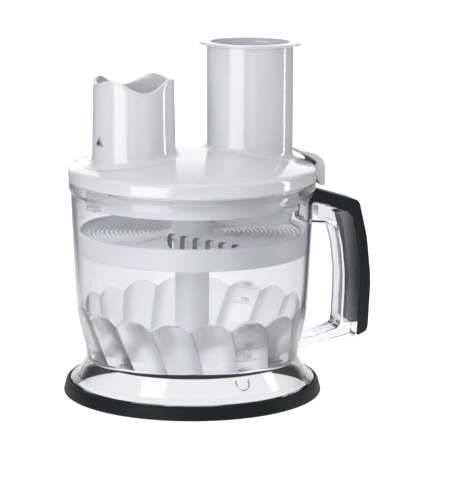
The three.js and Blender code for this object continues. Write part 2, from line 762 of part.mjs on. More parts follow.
place('bowl', bowl(), 'clear');
place('base_ring', baseRing(), 'rubber');
place('handle_grip', handleGrip(), 'black');
place('centre_pin', post(centrePinRadius, floorTop - 1.2, floorTop + centrePinLength), 'steel');
place('drive_stem', driveStem(), 'white');
place('insert_carrier', insertCarrier(), 'white');
place('insert_frame', insertFrame(), 'white');
place('shredding_blade', shreddingBlade(), 'steel');
place('lid_cover', lidCover(), 'white');
place('gear_cover', gearCover(), 'white');
screwPlaces().forEach((at, i) => place(`gear_cover_screw_${i + 1}`, screw(at), 'steel'));
place('idler_pin', post(idlerPinRadius, housingBottom + 1.3, highGearTop, idlerPlace, 20), 'steel');
place('idler_gear', idlerGear(), 'gearPlastic');
place('driver_gear', driverGear(), 'gearPlastic');
place('driver_bush', bush(driverShaftRadius, housingBottom + gap, driverBossTop, [0, 0]), 'brass');
place('input_bush', bush(inputShaftRadius, highGearTop + 1 + gap, inputBossTop, inputPlace), 'brass');
place('motor_coupling', motorCoupling(), 'black');
place('input_pinion', inputPinion(), 'steel');
place('interlock_pin', rod(leverPinRadius, -leverWidth / 2 + 0.4, leverWidth / 2 - 0.4, leverPin), 'steel');
place('interlock_spring', interlockSpring(), 'steel');
place('interlock_lever', interlockLever(), 'white');

// The ring or the collar is the widest thing on the left, the grip on the right.
assembly.position.x = (Math.max(ringRadius, bowlRadius) - (bowlRadius + handleReach)) / 2;

const foodProcessor = new THREE.Group();
foodProcessor.add(assembly);

export default foodProcessor;
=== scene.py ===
"""Looks of a food-processor bowl attachment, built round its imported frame.

A clear fluted bowl with a channel handle stands on a rubber ring. A glossy white lid carries the
coupling tower and the feed tube, and a ribbed disc with bright teeth spins on a column inside.
Everything is in metres. Shapes are drawn about the bowl's axis and then moved onto it.
"""

import json
import logging
import math
from collections.abc import Callable, Sequence
from dataclasses import dataclass
from enum import Enum

import bmesh
import bpy
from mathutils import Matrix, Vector


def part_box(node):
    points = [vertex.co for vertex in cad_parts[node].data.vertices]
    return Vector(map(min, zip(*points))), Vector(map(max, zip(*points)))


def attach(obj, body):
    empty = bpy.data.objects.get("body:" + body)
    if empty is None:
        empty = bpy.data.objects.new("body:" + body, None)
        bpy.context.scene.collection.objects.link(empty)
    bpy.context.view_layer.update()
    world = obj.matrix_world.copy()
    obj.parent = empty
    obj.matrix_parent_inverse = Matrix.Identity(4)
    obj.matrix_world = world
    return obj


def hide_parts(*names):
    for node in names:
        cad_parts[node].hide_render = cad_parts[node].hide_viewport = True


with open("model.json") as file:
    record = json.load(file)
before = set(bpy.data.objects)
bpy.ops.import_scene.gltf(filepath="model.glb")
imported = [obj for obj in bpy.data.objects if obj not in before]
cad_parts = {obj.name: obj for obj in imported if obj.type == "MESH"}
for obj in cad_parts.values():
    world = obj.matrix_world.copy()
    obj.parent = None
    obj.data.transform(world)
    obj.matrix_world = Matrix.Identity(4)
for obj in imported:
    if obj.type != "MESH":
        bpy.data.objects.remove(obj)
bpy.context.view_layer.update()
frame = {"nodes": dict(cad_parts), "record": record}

LOG = logging.getLogger("food_processor")
Point = tuple[float, float]
Shape = Callable[[float, float, float], tuple[float, float, float]]
Tree = bpy.types.NodeTree
Socket = bpy.types.NodeSocket
GAP = 0.0003  # clear gap between neighbouring pieces
TINY = 1e-9  # lengths below this count as none
CRISP = 32.0  # edges that turn more than this many degrees stay crisp
FULL_TURN = 216  # steps round a large moulding
TUBE_TURN = 192  # steps round a tower


# ---- Making meshes ------------------------------------------------------------------------
def rounded(points: Sequence[Point], radius: float, steps: int = 4) -> list[Point]:
    """Rounds the corners of a closed outline, or of a profile that ends on the axis.

    Args:
        points: corners in order.
        radius: how far each round reaches along its two sides.
        steps: points in each round, less one.

    Returns:
        The outline with its corners rounded.
    """
    found: list[Point] = []
    for i, here in enumerate(points):
        before, after = points[i - 1], points[(i + 1) % len(points)]
        if here[0] < TINY:
            found.append(here)
            continue
        corner, back, on = Vector(here), Vector(before) - Vector(here), Vector(after) - Vector(here)
        reach = min(radius, 0.45 * back.length, 0.45 * on.length)
        start, end = corner + back.normalized() * reach, corner + on.normalized() * reach
        for k in range(steps + 1):
            s = k / steps
            spot = start * (1 - s) ** 2 + corner * (2 * s * (1 - s)) + end * s**2
            found.append((spot.x, spot.y))
    return found


def mesh_object(name: str, corners: list[tuple], faces: list[tuple], sharp: float = CRISP) -> bpy.types.Object:
    """Makes a smooth-shaded object from corners and faces.

    Args:
        name: the piece's name.
        corners: corner positions.
        faces: corner numbers of each face.
        sharp: edges that turn more than this many degrees stay crisp.

    Returns:
        The new object, linked to the scene.
    """
    mesh = bpy.data.meshes.new(name)
    mesh.from_pydata(corners, [], faces)
    tidy = bmesh.new()
    tidy.from_mesh(mesh)
    bmesh.ops.remove_doubles(tidy, verts=tidy.verts, dist=1e-7)
    bmesh.ops.recalc_face_normals(tidy, faces=tidy.faces)
    tidy.to_mesh(mesh)
    tidy.free()
    crisp(mesh, sharp)
    made = bpy.data.objects.new(name, mesh)
    bpy.context.scene.collection.objects.link(made)
    return made


def crisp(mesh: bpy.types.Mesh, sharp: float) -> None:
    """Shades a mesh smooth, apart from edges that turn more than sharp degrees."""
    mesh.shade_smooth()
    mesh.set_sharp_from_angle(angle=math.radians(sharp))


def revolve(
    name: str,
    profile: Sequence[Point],
    steps: int = 180,
    centre: Point = (0.0, 0.0),
    shape: Shape | None = None,
    sharp: float = CRISP,
) -> bpy.types.Object:
    """Turns a profile about an upright axis.

    Args:
        name: the piece's name.
        profile: (radius, height) points, closed or ending on the axis.
        steps: steps round the axis.
        centre: where the axis stands.
        shape: moves (radius, height, angle) of each corner, if given.
        sharp: edges that turn more than this many degrees stay crisp.

    Returns:
        The new object.
    """
    corners: list[tuple] = []
    rows: list[list[int]] = []
    for r, z in profile:
        row: list[int] = []
        for k in range(steps if r > TINY else 1):
            angle = 2 * math.pi * k / steps
            radius, height, turn = shape(r, z, angle) if shape else (r, z, angle)
            row.append(len(corners))
            corners.append((centre[0] + radius * math.cos(turn), centre[1] + radius * math.sin(turn), height))
        rows.append(row)
    open_ended = profile[0][0] < TINY and profile[-1][0] < TINY
    faces: list[tuple] = []
    for i in range(len(rows) - open_ended):
        low, high = rows[i], rows[(i + 1) % len(rows)]
        for k in range(steps):
            after = (k + 1) % steps
            ring = [low[k % len(low)], low[after % len(low)], high[after % len(high)], high[k % len(high)]]
            face = tuple(dict.fromkeys(ring))
            if len(face) > 2:
                faces.append(face)
    return mesh_object(name, corners, faces, sharp)


def extrude(
    name: str, outline: Sequence[Point], low: float, high: float, upright: bool = True
) -> bpy.types.Object:
    """Pushes a closed outline out into a solid.

    Args:
        name: the piece's name.
        outline: corners, in XY if upright, else in XZ.
        low: where the solid starts along Z, or along Y.
        high: where it ends.
        upright: True to push along Z, False to push along Y.

    Returns:
        The new object.
    """
    count = len(outline)
    corners = [(a, b, level) if upright else (a, level, b) for level in (low, high) for a, b in outline]
    faces = [tuple(range(count)), tuple(range(count, 2 * count))]
    faces += [(i, (i + 1) % count, count + (i + 1) % count, count + i) for i in range(count)]
    return mesh_object(name, corners, faces)


def settle(made: bpy.types.Object, sharp: float = CRISP) -> bpy.types.Object:
    """Applies every modifier on an object, and shades it again.

    Args:
        made: the object.
        sharp: edges that turn more than this many degrees stay crisp.

    Returns:
        The same object.
    """
    result = bpy.data.meshes.new_from_object(made.evaluated_get(bpy.context.evaluated_depsgraph_get()))
    made.modifiers.clear()
    made.data = result
    crisp(result, sharp)
    return made


class Cut(Enum):
    """How one solid changes another."""

    JOIN = "UNION"
    TAKE = "DIFFERENCE"
    KEEP = "INTERSECT"


def combine(made: bpy.types.Object, tool: bpy.types.Object, how: Cut, sharp: float = CRISP) -> bpy.types.Object:
    """Joins or cuts one solid with another, which is used up.

    Args:
        made: the solid that is changed.
        tool: the solid that changes it.
        how: what to do.
        sharp: edges that turn more than this many degrees stay crisp.

    Returns:
        The changed solid.
    """
    step = made.modifiers.new("combine", "BOOLEAN")
    step.operation, step.solver, step.object = how.value, "EXACT", tool
    settle(made, sharp)
    bpy.data.objects.remove(tool)
    return made


def soften(made: bpy.types.Object, width: float, segments: int = 3, angle: float = 40) -> bpy.types.Object:
    """Rounds the edges of a solid.

    Args:
        made: the solid.
        width: how far each round reaches from its edge.
        segments: flats in each round.
        angle: edges that turn less than this many degrees are left.

    Returns:
        The rounded solid.
    """
    step = made.modifiers.new("soften", "BEVEL")
    step.width, step.segments, step.angle_limit = width, segments, math.radians(angle)
    step.harden_normals = False
    return settle(made)


def join(made: bpy.types.Object, others: Sequence[bpy.types.Object]) -> bpy.types.Object:
    """Gathers several closed shells into one piece.

    Args:
        made: the first shell, which becomes the piece.
        others: the other shells, which are used up.

    Returns:
        The piece.
    """
    gathered = bmesh.new()
    for part in (made, *others):
        gathered.from_mesh(part.data)
    gathered.to_mesh(made.data)
    gathered.free()
    crisp(made.data, CRISP)
    for part in others:
        bpy.data.objects.remove(part)
    return made


def oval(long: float, short: float, turn: float, centre: Point, steps: int = 96) -> list[Point]:
    """Makes the outline of an oval.

    Args:
        long: half its length.
        short: half its width.
        turn: how far its length is turned from X, in radians.
        centre: its middle.
        steps: points round it.

    Returns:
        The outline.
    """
    found: list[Point] = []
    for k in range(steps):
        a = 2 * math.pi * k / steps
        x, y = long * math.cos(a), short * math.sin(a)
        across = centre[0] + x * math.cos(turn) - y * math.sin(turn)
        found.append((across, centre[1] + x * math.sin(turn) + y * math.cos(turn)))
    return found


# ---- Finishes -----------------------------------------------------------------------------
def linear(code: str) -> tuple[float, float, float, float]:
    """Turns a six-digit colour code into linear red, green, blue and alpha."""
    parts = [int(code[i : i + 2], 16) / 255 for i in (0, 2, 4)]
    return (*[p / 12.92 if p <= 0.04045 else ((p + 0.055) / 1.055) ** 2.4 for p in parts], 1.0)


class Ramp(Enum):
    """How a value runs between the two ends of its range."""

    STRAIGHT = "LINEAR"
    SMOOTH = "SMOOTHSTEP"
    SMOOTHER = "SMOOTHERSTEP"


class Step(Enum):
    """The steps of arithmetic that materials use."""

    ADD = "ADD"
    SCALE_ADD = "MULTIPLY_ADD"
    BEARING = "ARCTAN2"
    FRACTION = "FRACT"
    LARGER = "MAXIMUM"
    SIZE = "ABSOLUTE"


class Blend(Enum):
    """How a colour is changed by another."""

    TOWARDS = "MIX"
    TIMES = "MULTIPLY"


def ranged(
    tree: Tree, value: Socket, reach: Point = (0.0, 1.0), level: Point = (0.0, 1.0), ramp: Ramp = Ramp.STRAIGHT
) -> Socket:
    """Turns a value that runs over one range into one that runs over another.

    Args:
        tree: the nodes of a material or of the world.
        value: the value.
        reach: where the change starts and ends.
        level: the result at its start and its end.
        ramp: how the result runs between them.

    Returns:
        The result.
    """
    made = tree.nodes.new("ShaderNodeMapRange")
    made.interpolation_type = ramp.value
    made.inputs["From Min"].default_value, made.inputs["From Max"].default_value = reach
    made.inputs["To Min"].default_value, made.inputs["To Max"].default_value = level
    tree.links.new(value, made.inputs["Value"])
    return made.outputs["Result"]


def calc(tree: Tree, step: Step, *values: float | Socket) -> Socket:
    """Adds a step of arithmetic.

    Args:
        tree: the nodes of a material or of the world.
        step: what is done.
        values: numbers and sockets, in order.

    Returns:
        The result.
    """
    made = tree.nodes.new("ShaderNodeMath")
    made.operation = step.value
    for place, value in enumerate(values):
        if isinstance(value, Socket):
            tree.links.new(value, made.inputs[place])
        else:
            made.inputs[place].default_value = value
    return made.outputs["Value"]


def along(tree: Tree, spot: Socket, way: tuple[float, float, float]) -> Socket:
    """Measures how far a place or a direction lies along a way.

    Args:
        tree: the nodes of a material or of the world.
        spot: the place or the direction.
        way: a direction of length one.

    Returns:
        The length.
    """
    made = tree.nodes.new("ShaderNodeVectorMath")
    made.operation = "DOT_PRODUCT"
    made.inputs[1].default_value = way
    tree.links.new(spot, made.inputs[0])
    return made.outputs["Value"]


def position(tree: Tree) -> Socket:
    """Gives the place on the object."""
    return tree.nodes.new("ShaderNodeTexCoord").outputs["Object"]


def split(tree: Tree, spot: Socket) -> bpy.types.Node:
    """Splits a place into its X, Y and Z.

    Args:
        tree: the nodes of a material or of the world.
        spot: the place.

    Returns:
        The node that gives them.
    """
    made = tree.nodes.new("ShaderNodeSeparateXYZ")
    tree.links.new(spot, made.inputs["Vector"])
    return made


def tint(tree: Tree, share: Socket, code: str, blend: Blend) -> None:
    """Changes a material's colour by another one.

    Args:
        tree: the material's nodes.
        share: how far it is changed, from 0 to 1.
        code: the other colour's code.
        blend: how it is changed.
    """
    colour = tree.nodes["Principled BSDF"].inputs["Base Color"]
    mixed = tree.nodes.new("ShaderNodeMix")
    mixed.data_type, mixed.blend_type = "RGBA", blend.value
    mixed.inputs["B"].default_value = linear(code)
    tree.links.new(share, mixed.inputs["Factor"])
    tree.links.new(colour.links[0].from_socket, mixed.inputs["A"])
    tree.links.new(mixed.outputs["Result"], colour)


@dataclass(frozen=True)
class Finish:
    """A moulded, turned or cast surface with fine variation in its colour and polish."""

    name: str
    tone: str
    shade: str
    polish: Point
    drift: float = 35.0
    grain: float = 900.0
    relief: float = 0.02
    relief_height: float = 0.0002
    metal: float = 0.0
    coat: float = 0.0
    coat_polish: float = 0.07
    see_through: float = 0.0
    ior: float = 1.5
    gloss: float = 0.5
    stretch: tuple[float, float, float] = (1.0, 1.0, 1.0)

    def material(self) -> bpy.types.Material:
        """Builds the finish as a material, once.

        Returns:
            The material.
        """
        if self.name in bpy.data.materials:
            return bpy.data.materials[self.name]
        made = bpy.data.materials.new(self.name)
        made.use_nodes = True
        tree = made.node_tree
        nodes, links = tree.nodes, tree.links
        surface = nodes["Principled BSDF"]
        fixed = {
            "Metallic": self.metal,
            "IOR": self.ior,
            "Specular IOR Level": self.gloss,
            "Coat Weight": self.coat,
            "Coat Roughness": self.coat_polish,
            "Transmission Weight": self.see_through,
        }
        for name, value in fixed.items():
            surface.inputs[name].default_value = value
        scale = nodes.new("ShaderNodeMapping")
        scale.inputs["Scale"].default_value = self.stretch
        links.new(position(tree), scale.inputs["Vector"])
        drift = self._noise(tree, scale.outputs["Vector"], self.drift, 3.0)
        fine = self._noise(tree, scale.outputs["Vector"], self.grain, 4.0)
        colour = nodes.new("ShaderNodeMix")
        colour.data_type = "RGBA"
        colour.inputs["A"].default_value = linear(self.tone)
        colour.inputs["B"].default_value = linear(self.shade)
        links.new(drift, colour.inputs["Factor"])
        links.new(colour.outputs["Result"], surface.inputs["Base Color"])
        links.new(ranged(tree, fine, level=self.polish), surface.inputs["Roughness"])
        bump = nodes.new("ShaderNodeBump")
        bump.inputs["Strength"].default_value = self.relief
        bump.inputs["Distance"].default_value = self.relief_height
        links.new(fine, bump.inputs["Height"])
        links.new(bump.outputs["Normal"], surface.inputs["Normal"])
        # clear plastic gets a painted shade where it is seen edge-on
        if self.see_through > 0.9:
            self._paint_edge_shade(tree)
        if self.see_through > 0.5:
            self._let_lamps_through(tree)
        return made

    def _noise(self, tree: Tree, spot: Socket, scale: float, detail: float) -> Socket:
        """Adds a noise texture.

        Args:
            tree: the material's nodes.
            spot: the place that it is read at.
            scale: how fine the noise is.
            detail: how many finer layers it has.

        Returns:
            The noise, about 0 to 1.
        """
        made = tree.nodes.new("ShaderNodeTexNoise")
        made.inputs["Scale"].default_value, made.inputs["Detail"].default_value = scale, detail
        tree.links.new(spot, made.inputs["Vector"])
        return made.outputs["Fac"]

    def _paint_edge_shade(self, tree: Tree) -> None:
        """Paints shade onto clear plastic where it is seen edge-on: partly for the longer path through it,
        partly painted shade for the dark room seen in it there.

        Args:
            tree: the material's nodes.
        """
        edge = tree.nodes.new("ShaderNodeLayerWeight")
        edge.inputs["Blend"].default_value = 0.5
        tint(tree, ranged(tree, edge.outputs["Facing"], (0.7, 0.97)), PAINTED_EDGE_SHADE, Blend.TOWARDS)

    def _let_lamps_through(self, tree: Tree) -> None:
        """Lets lamps shine through clear plastic to what is inside.

        Args:
            tree: the material's nodes.
        """
        kinds = ("BsdfTransparent", "LightPath", "MixShader")
        passing, which, mixed = (tree.nodes.new(f"ShaderNode{kind}") for kind in kinds)
        passing.inputs["Color"].default_value = (0.95, 0.945, 0.955, 1)
        tree.links.new(which.outputs["Is Shadow Ray"], mixed.inputs[0])
        tree.links.new(tree.nodes["Principled BSDF"].outputs["BSDF"], mixed.inputs[1])
        tree.links.new(passing.outputs["BSDF"], mixed.inputs[2])
        tree.links.new(mixed.outputs["Shader"], tree.nodes["Material Output"].inputs["Surface"])

    def dress(self, *made: bpy.types.Object) -> None:
        """Gives pieces this finish and no other.

        Args:
            made: the pieces.
        """
        for piece in made:
            piece.data.materials.clear()
            piece.data.materials.append(self.material())


WHITE = Finish("white_gloss_moulding", "E9E9EE", "E3E3E9", (0.1, 0.15), relief=0.006, coat=0.6)
WHITE_SATIN = Finish("white_satin_moulding", "E7E7EB", "E0E0E5", (0.3, 0.42), relief=0.03)
CLEAR_IOR = 1.52
CLEAR = Finish(
    "clear_polished_moulding", "FAFAFC", "F6F6F9", (0.0, 0.02), relief=0.003, see_through=1.0, ior=CLEAR_IOR
)
MILKY = Finish(
    "clear_inner_moulding", "EFEFF2", "E9E9ED", (0.13, 0.2), relief=0.01, see_through=0.82, ior=CLEAR_IOR
)
FROST = Finish("frosted_mark", "A6AAAF", "9A9EA4", (0.4, 0.55), see_through=0.3, ior=1.46)
MARK = Finish("grey_mark", "B0B2B7", "A6A8AE", (0.3, 0.4))
# painted shade of a recess, for the middle of the tower's mark
PAINTED_RECESS_SHADOW = Finish("painted_recess_shade", "55585D", "4A4D52", (0.4, 0.5))
# colours of painted shade: edge-on clear plastic, one side of each flute, the channel's sides and the grip's
# rib
PAINTED_EDGE_SHADE, PAINTED_FLUTE_SHADE, PAINTED_CHANNEL_SHADE, PAINTED_RIB_SHADE = "5E6268", "C0C0C7", "85888E", "2A2D31"
RIB = Finish("grey_grip_rib", "C2C4C8", "B8BABF", (0.34, 0.44), relief=0.04)
BLACK = Finish("black_satin_grip", "1D2124", "171A1D", (0.36, 0.48), grain=2600.0, relief=0.12, gloss=0.3)
RUBBER = Finish("black_ring_rubber", "1A1E20", "151819", (0.42, 0.56), grain=1800.0, relief=0.15, gloss=0.16)
CHROME = Finish("bright_teeth", "8A8D92", "7C7F85", (0.05, 0.12), metal=1.0, relief=0.02)
STEEL = Finish("turned_steel", "B9BCC0", "A6A9AE", (0.24, 0.38), metal=1.0, relief=0.08, stretch=(1, 1, 14))
BRASS = Finish("bush_brass", "BE9A5A", "A9844A", (0.28, 0.42), metal=1.0, relief=0.08, stretch=(1, 1, 10))
GEAR = Finish("gear_nylon", "DDD9CC", "D2CDBE", (0.36, 0.5), relief=0.06)


def painted_shade_copy(made: bpy.types.Material, name: str, start: float, end: float, code: str) -> bpy.types.Material:
    """Copies a material and paints shade onto the copy, growing darker along X.

    Args:
        made: the material.
        name: the copy's name.
        start: where it starts to darken.
        end: where it is darkest.
        code: the colour code that it is multiplied by there.

    Returns:
        The copy.
    """
    copy = made.copy()
    copy.name = name
    tree = copy.node_tree
    tint(tree, ranged(tree, split(tree, position(tree)).outputs["X"], (start, end)), code, Blend.TIMES)
    return copy


class Body(Enum):
    """The bodies of the frame that pieces ride on."""

    BASE = "base"
    LID = "lid"
    STEM = "stem"
    CARRIER = "carrier"
    INSERT = "insert"
    INTERLOCK = "interlock"


def fit(
    made: bpy.types.Object, body: Body, finish: Finish, nodes: Sequence[str]
) -> bpy.types.Object:
    """Dresses a piece and ties it to the frame.

    Args:
        made: the piece.
        body: the body it rides on.
        finish: its finish.
        nodes: the frame's nodes that it stands for.

    Returns:
        The piece.
    """
    finish.dress(made)
    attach(made, body.value)
    if nodes:
        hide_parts(*nodes)
    LOG.info("%s: %d faces, rides on %s", made.name, len(made.data.polygons), body.value)
    return made


# ---- Sub-assemblies -----------------------------------------------------------------------
@dataclass
class Bowl:
    """The clear bowl with its flutes, foot skirt and channel handle, and the marks on it."""

    axis: float
    rim: float
    radius: float = 0.084
    wall: float = 0.0023
    floor: float = 0.027
    waist: Point = (0.0714, 0.0257)
    flutes: int = 18
    flute_top: float = 0.0626
    arch: float = 0.0059
    flute_depth: float = 0.0018
    flute_foot: float = 0.065
    swirl: float = math.radians(7.5)
    first_groove: float = math.radians(10)
    marks: tuple[tuple[str, float, float, bool], ...] = (
        ("125", 0.0365, -80, False),
        ("250", 0.0445, -80, False),
        ("500", 0.0575, -80, False),
        ("750", 0.0465, 41, True),
        ("1000", 0.0575, 41, True),
    )
    mark_size: float = 0.0046
    mark_relief: float = 0.00006
    thumb_angle: float = math.radians(-82.4)
    run_out: float = 0.004
    flat_floor: float = 0.03
    crease: float = 13

    def outside(self) -> list[Point]:
        """Outside of the bowl from its rim down to its waist."""
        r, z = self.radius, self.rim
        return [
            (r, z),
            (r, z - 0.0055),
            (r - 0.0015, z - 0.0078),
            (r - 0.002, z - 0.0245),
            (r - 0.004, self.flute_top + (z - self.flute_top) * 0.16),
            (r - 0.0054, self.flute_top - 0.0076),
            (r - 0.009, self.waist[1] + 0.0128),
            self.waist,
        ]

    def wall_at(self, height: float) -> float:
        """Finds the outside radius of the bowl.

        Args:
            height: a height above the waist.

        Returns:
            The radius there.
        """
        line = self.outside()
        for (r1, z1), (r0, z0) in zip(line, line[1:]):
            if height >= z0:
                return r0 + (r1 - r0) * (height - z0) / max(z1 - z0, TINY)
        return line[-1][0]

    def _flute(self, r: float, z: float, angle: float) -> tuple[float, float, float]:
        """Moves a corner of the cavity so that the lower wall swells inwards in swirled flutes.

        Args:
            r: the corner's radius.
            z: its height.
            angle: its angle.

        Returns:
            Its new radius, height and angle.
        """
        if z > self.flute_top + self.run_out or r < self.flat_floor:
            return r, z, angle
        step = 2 * math.pi / self.flutes
        across = (angle - self.first_groove) % step
        outwards = (1 - min(across, step - across) / (step / 2)) ** 2
        crest = self.flute_top - self.arch * outwards
        if z > self.flute_top:
            share = (z - self.flute_top) / self.run_out
            height = crest + (self.flute_top + self.run_out - crest) * share
            return self.wall_at(height) - self.wall, height, angle
        share = (z - self.floor) / (self.flute_top - self.floor)
        height = self.floor + share * (crest - self.floor)
        low, high = self.flute_foot + self.flute_depth * outwards, self.wall_at(crest) - self.wall
        turn = angle + self.swirl * (1 - share)
        return low + (high - low) * share**0.85, height, turn

    def shell(self) -> bpy.types.Object:
        """Makes the bowl without its handle.

        Returns:
            The bowl as one closed solid, drawn about the axis.
        """
        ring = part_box("base_ring")
        edge = (ring[1].x - ring[0].x) / 2 - BaseRing.inset
        foot = ring[1].z
        inner: list[Point] = [(0.0, self.floor), (self.flat_floor, self.floor), (0.055, self.floor)]
        inner += [(self.flute_foot, z) for z in self._heights(self.floor, self.flute_top, 22)]
        inner += [(self.radius, self.flute_top + self.run_out * k / 4) for k in (1, 2, 3, 4)]
        plain = self._heights(self.flute_top + 0.007, self.rim - 0.009, 12)
        inner += [(self.wall_at(z) - self.wall, z) for z in plain]
        inner += [(self.radius - 0.0037, self.rim - 0.0004), (self.radius - 0.0033, self.rim)]
        steps = 5
        down = rounded(self.outside(), radius=0.006, steps=steps)[steps + 1 : -steps - 1]
        skirt = [
            (self.waist[0] + 0.001, self.waist[1] - 0.0012),
            (self.waist[0] + 0.0051, self.waist[1] - 0.0087),
            (self.waist[0] + 0.0076, self.waist[1] - 0.013),
            (edge - 0.0006, foot + 0.0006),
            (edge, foot - 0.001),
            (edge, foot - 0.006),
            (edge - 0.0023, foot - 0.006),
            (edge - 0.0023, foot - 0.0006),
            (self.waist[0] + 0.0056, self.waist[1] - 0.0142),
            (self.waist[0] + 0.0028, self.waist[1] - 0.0092),
            (self.waist[0] - 0.0018, self.floor - 0.003),
            (0.0, self.floor - 0.003),
        ]
        profile = [*inner, (self.radius - 0.0005, self.rim), (self.radius, self.rim - 0.0005), *down, *skirt]
        turn = self.flutes * 12
        return revolve("bowl_moulding", profile, turn, (self.axis, 0), self._flute_inside, self.crease)

    def _flute_inside(self, r: float, z: float, angle: float) -> tuple[float, float, float]:
        """Flutes only the corners that belong to the cavity.

        Args:
            r: the corner's radius.
            z: its height.
            angle: its angle.

        Returns:
            Its new radius, height and angle.
        """
        above = abs(r - self.radius) < TINY and z < self.flute_top + self.run_out + 0.001
        inside = above or abs(r - self.flute_foot) < TINY
        return self._flute(r, z, angle) if inside else (r, z, angle)

    def _heights(self, low: float, high: float, steps: int) -> list[float]:
        """Even heights up a wall."""
        return [low + (high - low) * k / steps for k in range(steps + 1)]

    def build(self) -> None:
        """Makes and dresses the bowl and its marks."""
        body = self.shell()
        handle = Handle(self.axis, self.rim)
        body = combine(body, handle.channel(), Cut.JOIN, self.crease)
        fit(body, Body.BASE, CLEAR, ["bowl"])
        self._cloud_and_paint_shade(body)
        handle.build_grip()
        for text, height, bearing, within in self.marks:
            self._mark(text, height, bearing, within)
        self._thumb_mark()

    def _cloud_and_paint_shade(self, body: bpy.types.Object) -> None:
        """Gives the flutes their milky finish with a painted shade across each, and the sides of the handle's
        channel a painted shade.

        Args:
            body: the bowl with its handle.
        """
        body.data.materials.append(self._paint_flute_shade(MILKY.material()))
        start = self.axis + self.radius
        # the channel's sides get a painted shade, darker towards the grip
        sides = painted_shade_copy(CLEAR.material(), "clear_channel_sides", start + 0.021, start + 0.037, PAINTED_CHANNEL_SHADE)
        body.data.materials.append(sides)
        channel = Handle.half - Handle.wall + 0.0001
        for face in body.data.polygons:
            x, y, z = face.center.x - self.axis, face.center.y, face.center.z
            radius = math.hypot(x, y)
            inwards = face.normal.x * x + face.normal.y * y < -0.5 * radius
            step = 2 * math.pi / self.flutes
            across = (math.atan2(y, x) - self.first_groove) % step
            crest = self.flute_top - self.arch * (1 - min(across, step - across) / (step / 2)) ** 2
            flute = inwards and self.floor < z < crest and radius < self.wall_at(z) - self.wall + 0.0002
            pocket = x > self.radius + 0.003 and abs(y) < channel and face.normal.y * y < -0.9 * abs(y)
            if flute or pocket:
                face.material_index = 1 if flute else 2

    def _paint_flute_shade(self, made: bpy.types.Material) -> bpy.types.Material:
        """Paints shade onto a material towards one edge of each flute, standing in for the light that the
        flutes bend.

        Args:
            made: the material.

        Returns:
            The same material.
        """
        tree = made.node_tree
        spot = split(tree, position(tree)).outputs
        bearing = calc(tree, Step.BEARING, spot["Y"], calc(tree, Step.ADD, spot["X"], -self.axis))
        rise = self.swirl / (self.flute_top - self.floor)
        swirl = calc(tree, Step.SCALE_ADD, spot["Z"], rise, -rise * self.flute_top - self.first_groove)
        turned = calc(tree, Step.ADD, bearing, swirl)
        count = calc(tree, Step.SCALE_ADD, turned, self.flutes / (2 * math.pi), float(self.flutes))
        share = ranged(tree, calc(tree, Step.FRACTION, count), (0.5, 1.0), ramp=Ramp.SMOOTHER)
        # painted shade, darker towards one edge of each flute
        tint(tree, share, PAINTED_FLUTE_SHADE, Blend.TIMES)
        return made

    def _mark(self, text: str, height: float, bearing: float, within: bool) -> None:
        """Sets one number and its line on the bowl.

        Args:
            text: the number.
            height: height of its line.
            bearing: where it stands round the bowl, in degrees.
            within: True to read it from across the bowl.
        """
        curve = bpy.data.curves.new(f"mark_{text}", "FONT")
        curve.body, curve.align_x = text, "CENTER"
        curve.size, curve.extrude = self.mark_size, self.mark_relief
        letters = bpy.data.objects.new(f"mark_{text}", curve)
        bpy.context.scene.collection.objects.link(letters)
        flat = bpy.data.meshes.new_from_object(letters.evaluated_get(bpy.context.evaluated_depsgraph_get()))
        bpy.data.objects.remove(letters)
        made = bpy.data.objects.new(f"mark_{text}", flat)
        bpy.context.scene.collection.objects.link(made)
        line = [(-0.009, -0.0012), (0.009, -0.0012), (0.009, -0.0009), (-0.009, -0.0009)]
        made = join(made, [extrude(f"line_{text}", line, -self.mark_relief, self.mark_relief)])
        for corner in made.data.vertices:
            z = height + corner.co.y
            radius = self.wall_at(z) + 0.00008 + corner.co.z
            angle = math.radians(bearing) + (-corner.co.x if within else corner.co.x) / radius
            corner.co = (self.axis + radius * math.cos(angle), radius * math.sin(angle), z)
        fit(made, Body.BASE, FROST, [])

    def _thumb_mark(self) -> None:
        """Sets a U-shaped bead on the clear skirt, below the waist."""
        half, straight, drop, bead, sides = 0.0046, -0.002, 0.004, 0.0006, 8
        bends = (math.pi * (1 + k / 16) for k in range(1, 16))
        path: list[Point] = [(-half, 0.0), (-half, straight)]
        path += [(half * math.cos(a), straight + drop * math.sin(a)) for a in bends]
        path += [(half, straight), (half, 0.0)]
        corners: list[tuple] = []
        for across, down in path:
            high = self.waist[1] - 0.0035 + down
            out = self.waist[0] + (self.waist[1] - 0.0012 - high) * 0.58 + 0.0011
            for k in range(sides):
                swing = 2 * math.pi * k / sides
                angle = self.thumb_angle + (across * (1 + bead / half * math.cos(swing))) / out
                radius = out + bead * math.sin(swing)
                height = high + (0.0004 * math.cos(swing) if down < straight else 0)
                corners.append((self.axis + radius * math.cos(angle), radius * math.sin(angle), height))
        last = len(corners) - sides
        faces: list[tuple] = [tuple(range(sides)), tuple(range(last, last + sides))]
        for k in range(0, last, sides):
            for i in range(sides):
                after = (i + 1) % sides
                faces.append((k + i, k + after, k + sides + after, k + sides + i))
        fit(mesh_object("thumb_mark", corners, faces), Body.BASE, FROST, [])


